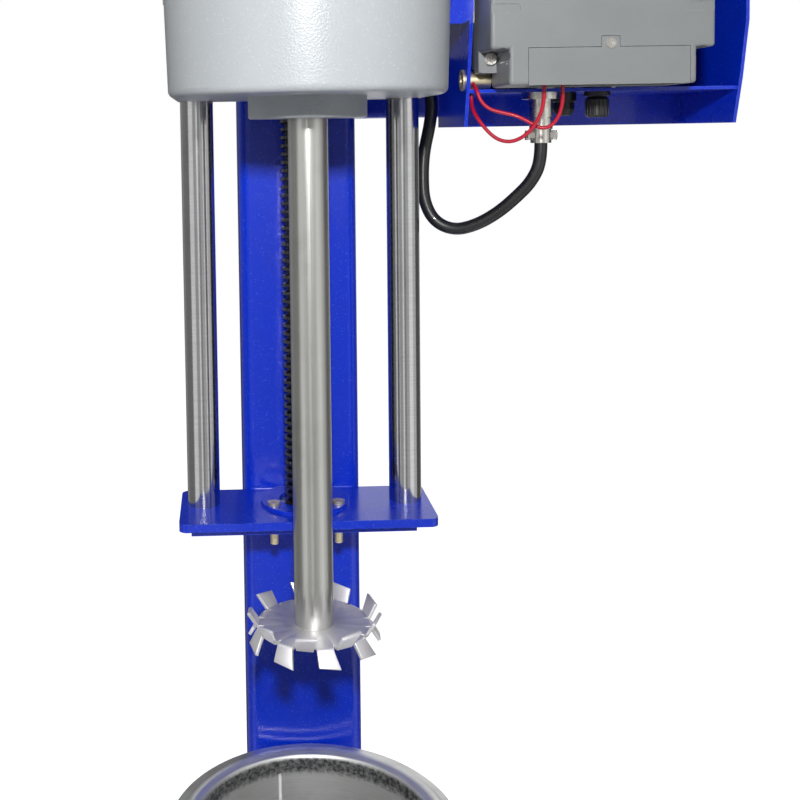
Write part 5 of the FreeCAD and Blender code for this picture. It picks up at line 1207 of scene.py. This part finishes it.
@dataclass
class CordRun:
    """A hanging cable or wire on a smooth line through its route's points, in millimetres."""

    name: str
    node: str
    slot: str
    radius: float
    length: float
    stiffness: Stiffness
    route: tuple[Millimetres, ...]

    def line(self, thick: bool) -> bpy.types.Object:
        """Make the route's spline.

        Args:
            thick: Whether it gets its round section.

        Returns:
            The curve object.
        """
        curve = bpy.data.curves.new(self.name, "CURVE")
        curve.dimensions = "3D"
        curve.resolution_u = 10
        spline = curve.splines.new("NURBS")
        spline.points.add(len(self.route) - 1)
        for point, place in zip(spline.points, self.route):
            point.co = (*at(*place), 1.0)
        spline.order_u = 3
        spline.use_endpoint_u = True
        if thick:
            curve.bevel_depth = self.radius * MM
            curve.bevel_resolution = 6
            curve.use_fill_caps = True
        item = bpy.data.objects.new(self.name, curve)
        bpy.context.scene.collection.objects.link(item)
        return item

    def declare(self) -> None:
        """Hide the node that the cord stands for and log the cord's length.
        """
        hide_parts(self.node)
        LOG.info("%s: %.1f mm of cord", self.name, self.length)

    def build(self, workshop: Workshop) -> bpy.types.Object:
        """Build the cord as a curve on the stand.

        Args:
            workshop: The finishes.

        Returns:
            The cord.
        """
        piece = self.line(True)
        piece.data.materials.append(workshop.materials[self.slot])
        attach(piece, Body.STAND.value)
        self.declare()
        return piece

    def build_between(self, workshop: Workshop) -> bpy.types.Object:
        """Build the cord as one fixed tube mesh along its route, attached to no body.

        Args:
            workshop: The finishes.

        Returns:
            The cord.
        """
        middle = self.line(False)
        bare = bpy.data.meshes.new_from_object(middle)
        bpy.data.objects.remove(middle)
        bpy.data.meshes.remove(bare)
        thick = self.line(True)
        mesh = bpy.data.meshes.new_from_object(thick)
        bpy.data.objects.remove(thick)
        mesh.name = self.name
        mesh.shade_smooth()
        mesh.materials.clear()
        mesh.materials.append(workshop.materials[self.slot])
        piece = bpy.data.objects.new(self.name, mesh)
        bpy.context.scene.collection.objects.link(piece)
        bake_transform(piece)
        self.declare()
        return piece


MOTOR_CABLE = CordRun("motor_cable_run", "motor_cable", "black_cable", 3.9, 223.0, Stiffness.MEDIUM, (
    (145.3, -10, 220.7), (145.3, -10, 209), (140.2, -7.4, 197), (131.5, -3, 187), (122, 3, 177.5),
    (110, 8.5, 169.8), (97.5, 14.5, 166.2), (86, 19, 171.5), (80, 21.5, 184), (79.4, 23, 200),
    (80.6, 24, 216), (84.5, 24.5, 232), (86.8, 26, 248), (82, 28.5, 262), (73, 31.5, 272), (66, 33, 281),
    (66, 33, 290.4)))
RED_WIRES = (
    CordRun("long_red_lead", "red_wire_long", "red_wire", 1.1, 99.6, Stiffness.LIMP, (
        (135.6, -48, 265), (136.2, -47.5, 256), (136.6, -45.6, 244.5), (134.4, -43, 234.8),
        (129.2, -40, 226.8), (123, -37, 222.6), (117.3, -34.5, 221.9), (111.6, -31.5, 224.4),
        (106.2, -28.6, 230.6), (102.6, -24.8, 237.2), (101.4, -19.5, 242), (102.2, -14, 246.8),
        (102.2, -14, 253.5))),
    CordRun("short_red_lead", "red_wire_short", "red_wire", 1.1, 95.5, Stiffness.LIMP, (
        (147, -46.5, 265), (147.4, -45.2, 256), (148.6, -42.4, 246.2), (147.2, -40, 236.5),
        (142.6, -37.6, 230), (136.6, -35.4, 229.6), (130.8, -33.4, 233.8), (124, -31.4, 237.4),
        (116, -29, 239.2), (109, -27, 241.6), (104.4, -26.4, 246.6), (102.6, -25.6, 253.2),
        (102.2, -18.9, 256.7))),
)


@dataclass(frozen=True)
class PhotoCamera:
    """Pinhole camera fitted to the photograph, in pixels, millimetres and radians."""

    focal: float = 1075.2177
    centre_x: float = 248.0345
    centre_y: float = 194.9806
    frame_side: float = 800.0
    place: Millimetres = (-47.5377, -657.2191, 230.4465)
    yaw: float = 0.0232
    pitch: float = 0.0589
    roll: float = 0.0166
    sensor: float = 36.0

    def build(self) -> bpy.types.Object:
        """Make the camera the scene's own.

        Returns:
            The camera.
        """
        ahead = Vector((math.sin(self.yaw) * math.cos(self.pitch), math.cos(self.yaw) * math.cos(self.pitch),
                        -math.sin(self.pitch)))
        level = Vector((math.cos(self.yaw), -math.sin(self.yaw), 0))
        down = ahead.cross(level)
        right = math.cos(self.roll) * level + math.sin(self.roll) * down
        below = -math.sin(self.roll) * level + math.cos(self.roll) * down
        data = bpy.data.cameras.new("photo_camera")
        data.sensor_width = self.sensor
        data.lens = self.focal / self.frame_side * self.sensor
        data.shift_x = (self.frame_side / 2 - self.centre_x) / self.frame_side
        data.shift_y = (self.centre_y - self.frame_side / 2) / self.frame_side
        data.clip_start = 0.01
        camera = bpy.data.objects.new("photo_camera", data)
        turn = Matrix((right, -below, -ahead)).transposed().to_4x4()
        camera.matrix_world = Matrix.Translation(at(*self.place)) @ turn
        bpy.context.scene.collection.objects.link(camera)
        bpy.context.scene.camera = camera
        return camera


@dataclass
class Studio:
    """White room: floor, lamps, grey cards that only reflections see, and the world.

    Each shade is a card's first angle, from straight in front towards the right, and its grey. Each
    lamp is a name, its place, what it points at, its width and height, all in metres, and its watts.
    """

    floor_side: float = 8.0
    floor_grey: float = 0.86
    floor_lift: float = 0.85
    world_light: float = 0.14
    card_height: float = 1.15
    card_reach: float = 0.92
    foot_reach: float = 0.3
    foot_rise: float = 0.004
    shades: tuple[tuple[float, float], ...] = (
        (-180, 0.06), (-150, 0.3), (-120, 0.2), (-64, 0.85), (-34, 0.4), (-12, 0.95), (-2, 0.28),
        (12, 0.5), (32, 1.0), (60, 0.6), (84, 0.1), (125, 0.3), (150, 1.0))
    lamps: tuple[tuple[str, Sequence[float], Sequence[float], Sequence[float], float], ...] = (
        ("flash", (-0.05, -0.8, 0.79), (0.0, 0.0, 0.5), (0.05, 0.05), 6.0),
        ("left_soft", (-1.5, 0.45, 1.0), (0.0, 0.0, 0.5), (0.6, 1.3), 3.6),
        ("right_soft", (1.5, 0.45, 1.0), (0.05, 0.0, 0.5), (0.6, 1.3), 3.6))

    def lamp(self, name: str, place: Sequence[float], target: Sequence[float], size: Sequence[float],
             power: float) -> None:
        """Hang one soft lamp.

        Args:
            name: Its name.
            place: Where it hangs, in metres.
            target: What it points at.
            size: Width and height in metres.
            power: Its power in watts.
        """
        data = bpy.data.lights.new(name, "AREA")
        data.shape = "RECTANGLE"
        data.size, data.size_y = size
        data.energy = power
        lamp = bpy.data.objects.new(name, data)
        lamp.location = place
        lamp.rotation_euler = (Vector(target) - Vector(place)).to_track_quat("-Z", "Y").to_euler()
        bpy.context.scene.collection.objects.link(lamp)

    def stand(self, form: bmesh.types.BMesh, material: bpy.types.Material) -> bpy.types.Object:
        """Put a form into the room.

        Args:
            form: The form, in metres.
            material: Its material, whose name it takes.

        Returns:
            The object.
        """
        mesh = bpy.data.meshes.new(material.name)
        form.to_mesh(mesh)
        form.free()
        mesh.materials.append(material)
        item = bpy.data.objects.new(material.name, mesh)
        bpy.context.scene.collection.objects.link(item)
        return item

    def floor(self) -> None:
        """Lay the floor, which the eye sees as white."""
        form = bmesh.new()
        bmesh.ops.create_grid(form, x_segments=4, y_segments=4, size=self.floor_side / 2)
        material, graph, inputs = new_material("studio_floor")
        inputs["Base Color"].default_value = (self.floor_grey, self.floor_grey, self.floor_grey, 1)
        inputs["Roughness"].default_value = 0.9
        inputs["Emission Color"].default_value = (1, 1, 1, 1)
        graph.feed(inputs["Emission Strength"], graph.math("MULTIPLY", graph.seen(), self.floor_lift))
        self.stand(form, material)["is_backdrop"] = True

    def card(self, name: str, start: float, end: float, shade: float) -> None:
        """Stand a grey card with a foot lying inwards, which only reflections see.

        Args:
            name: Its name.
            start: The angle where it begins, from straight in front towards the right.
            end: The angle where it ends.
            shade: Its grey, as light.
        """
        form = bmesh.new()
        path = [(self.foot_reach, self.foot_rise), (self.card_reach, self.foot_rise),
                (self.card_reach, self.card_height)]
        sides = [[form.verts.new((reach * math.sin(math.radians(turn)),
                                  -reach * math.cos(math.radians(turn)), rise))
                  for reach, rise in path] for turn in (start, end)]
        for low in range(len(path) - 1):
            form.faces.new([sides[0][low], sides[1][low], sides[1][low + 1], sides[0][low + 1]])
        material, _, inputs = new_material(name)
        inputs["Base Color"].default_value = (0, 0, 0, 1)
        inputs["Specular IOR Level"].default_value = 0.0
        inputs["Emission Color"].default_value = (shade, shade, shade, 1)
        inputs["Emission Strength"].default_value = 1.0
        card = self.stand(form, material)
        card.visible_camera = False
        card.visible_diffuse = False
        card.visible_shadow = False
        card.visible_transmission = False
        card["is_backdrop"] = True

    def world(self) -> None:
        """White to the eye and in reflections, softer as light."""
        world = bpy.data.worlds.new("studio")
        bpy.context.scene.world = world
        world.use_nodes = True
        graph = Graph(world.node_tree)
        sky = world.node_tree.nodes["Background"].inputs
        graph.feed(sky["Strength"], graph.remap(graph.seen(), 0.0, 1.0, self.world_light, 1.0))
        sky["Color"].default_value = (1, 1, 1, 1)

    def build(self) -> None:
        """Set up the whole studio."""
        self.floor()
        self.world()
        for lamp in self.lamps:
            self.lamp(*lamp)
        ends = [turn for turn, _ in self.shades[1:]] + [180]
        for place, ((turn, shade), end) in enumerate(zip(self.shades, ends)):
            self.card(f"room_{place}", turn, end, shade)
        bpy.context.scene.view_settings.view_transform = "Standard"


def main() -> list[list[float]]:
    """Build the scene.

    Returns:
        The lowest and highest corner of the part before its pieces are dressed.
    """
    logging.basicConfig(level=logging.INFO, format="%(name)s: %(message)s")
    low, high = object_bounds()
    workshop = Workshop()
    PhotoCamera().build()
    MOTOR_CABLE.build_between(workshop)
    for wire in RED_WIRES:
        wire.build(workshop)
    workshop.dress(frame["nodes"])
    maker = Maker(workshop)
    LiftScrew().build(maker)
    DispersingDisc().build(maker)
    FrameWelds().build(maker)
    Vessel().build(maker)
    marks = PanelMarks()
    marks.keys(maker)
    marks.dial(maker)
    Studio().build()
    return [list(low), list(high)]


if __name__ == "__main__":
    before = main()
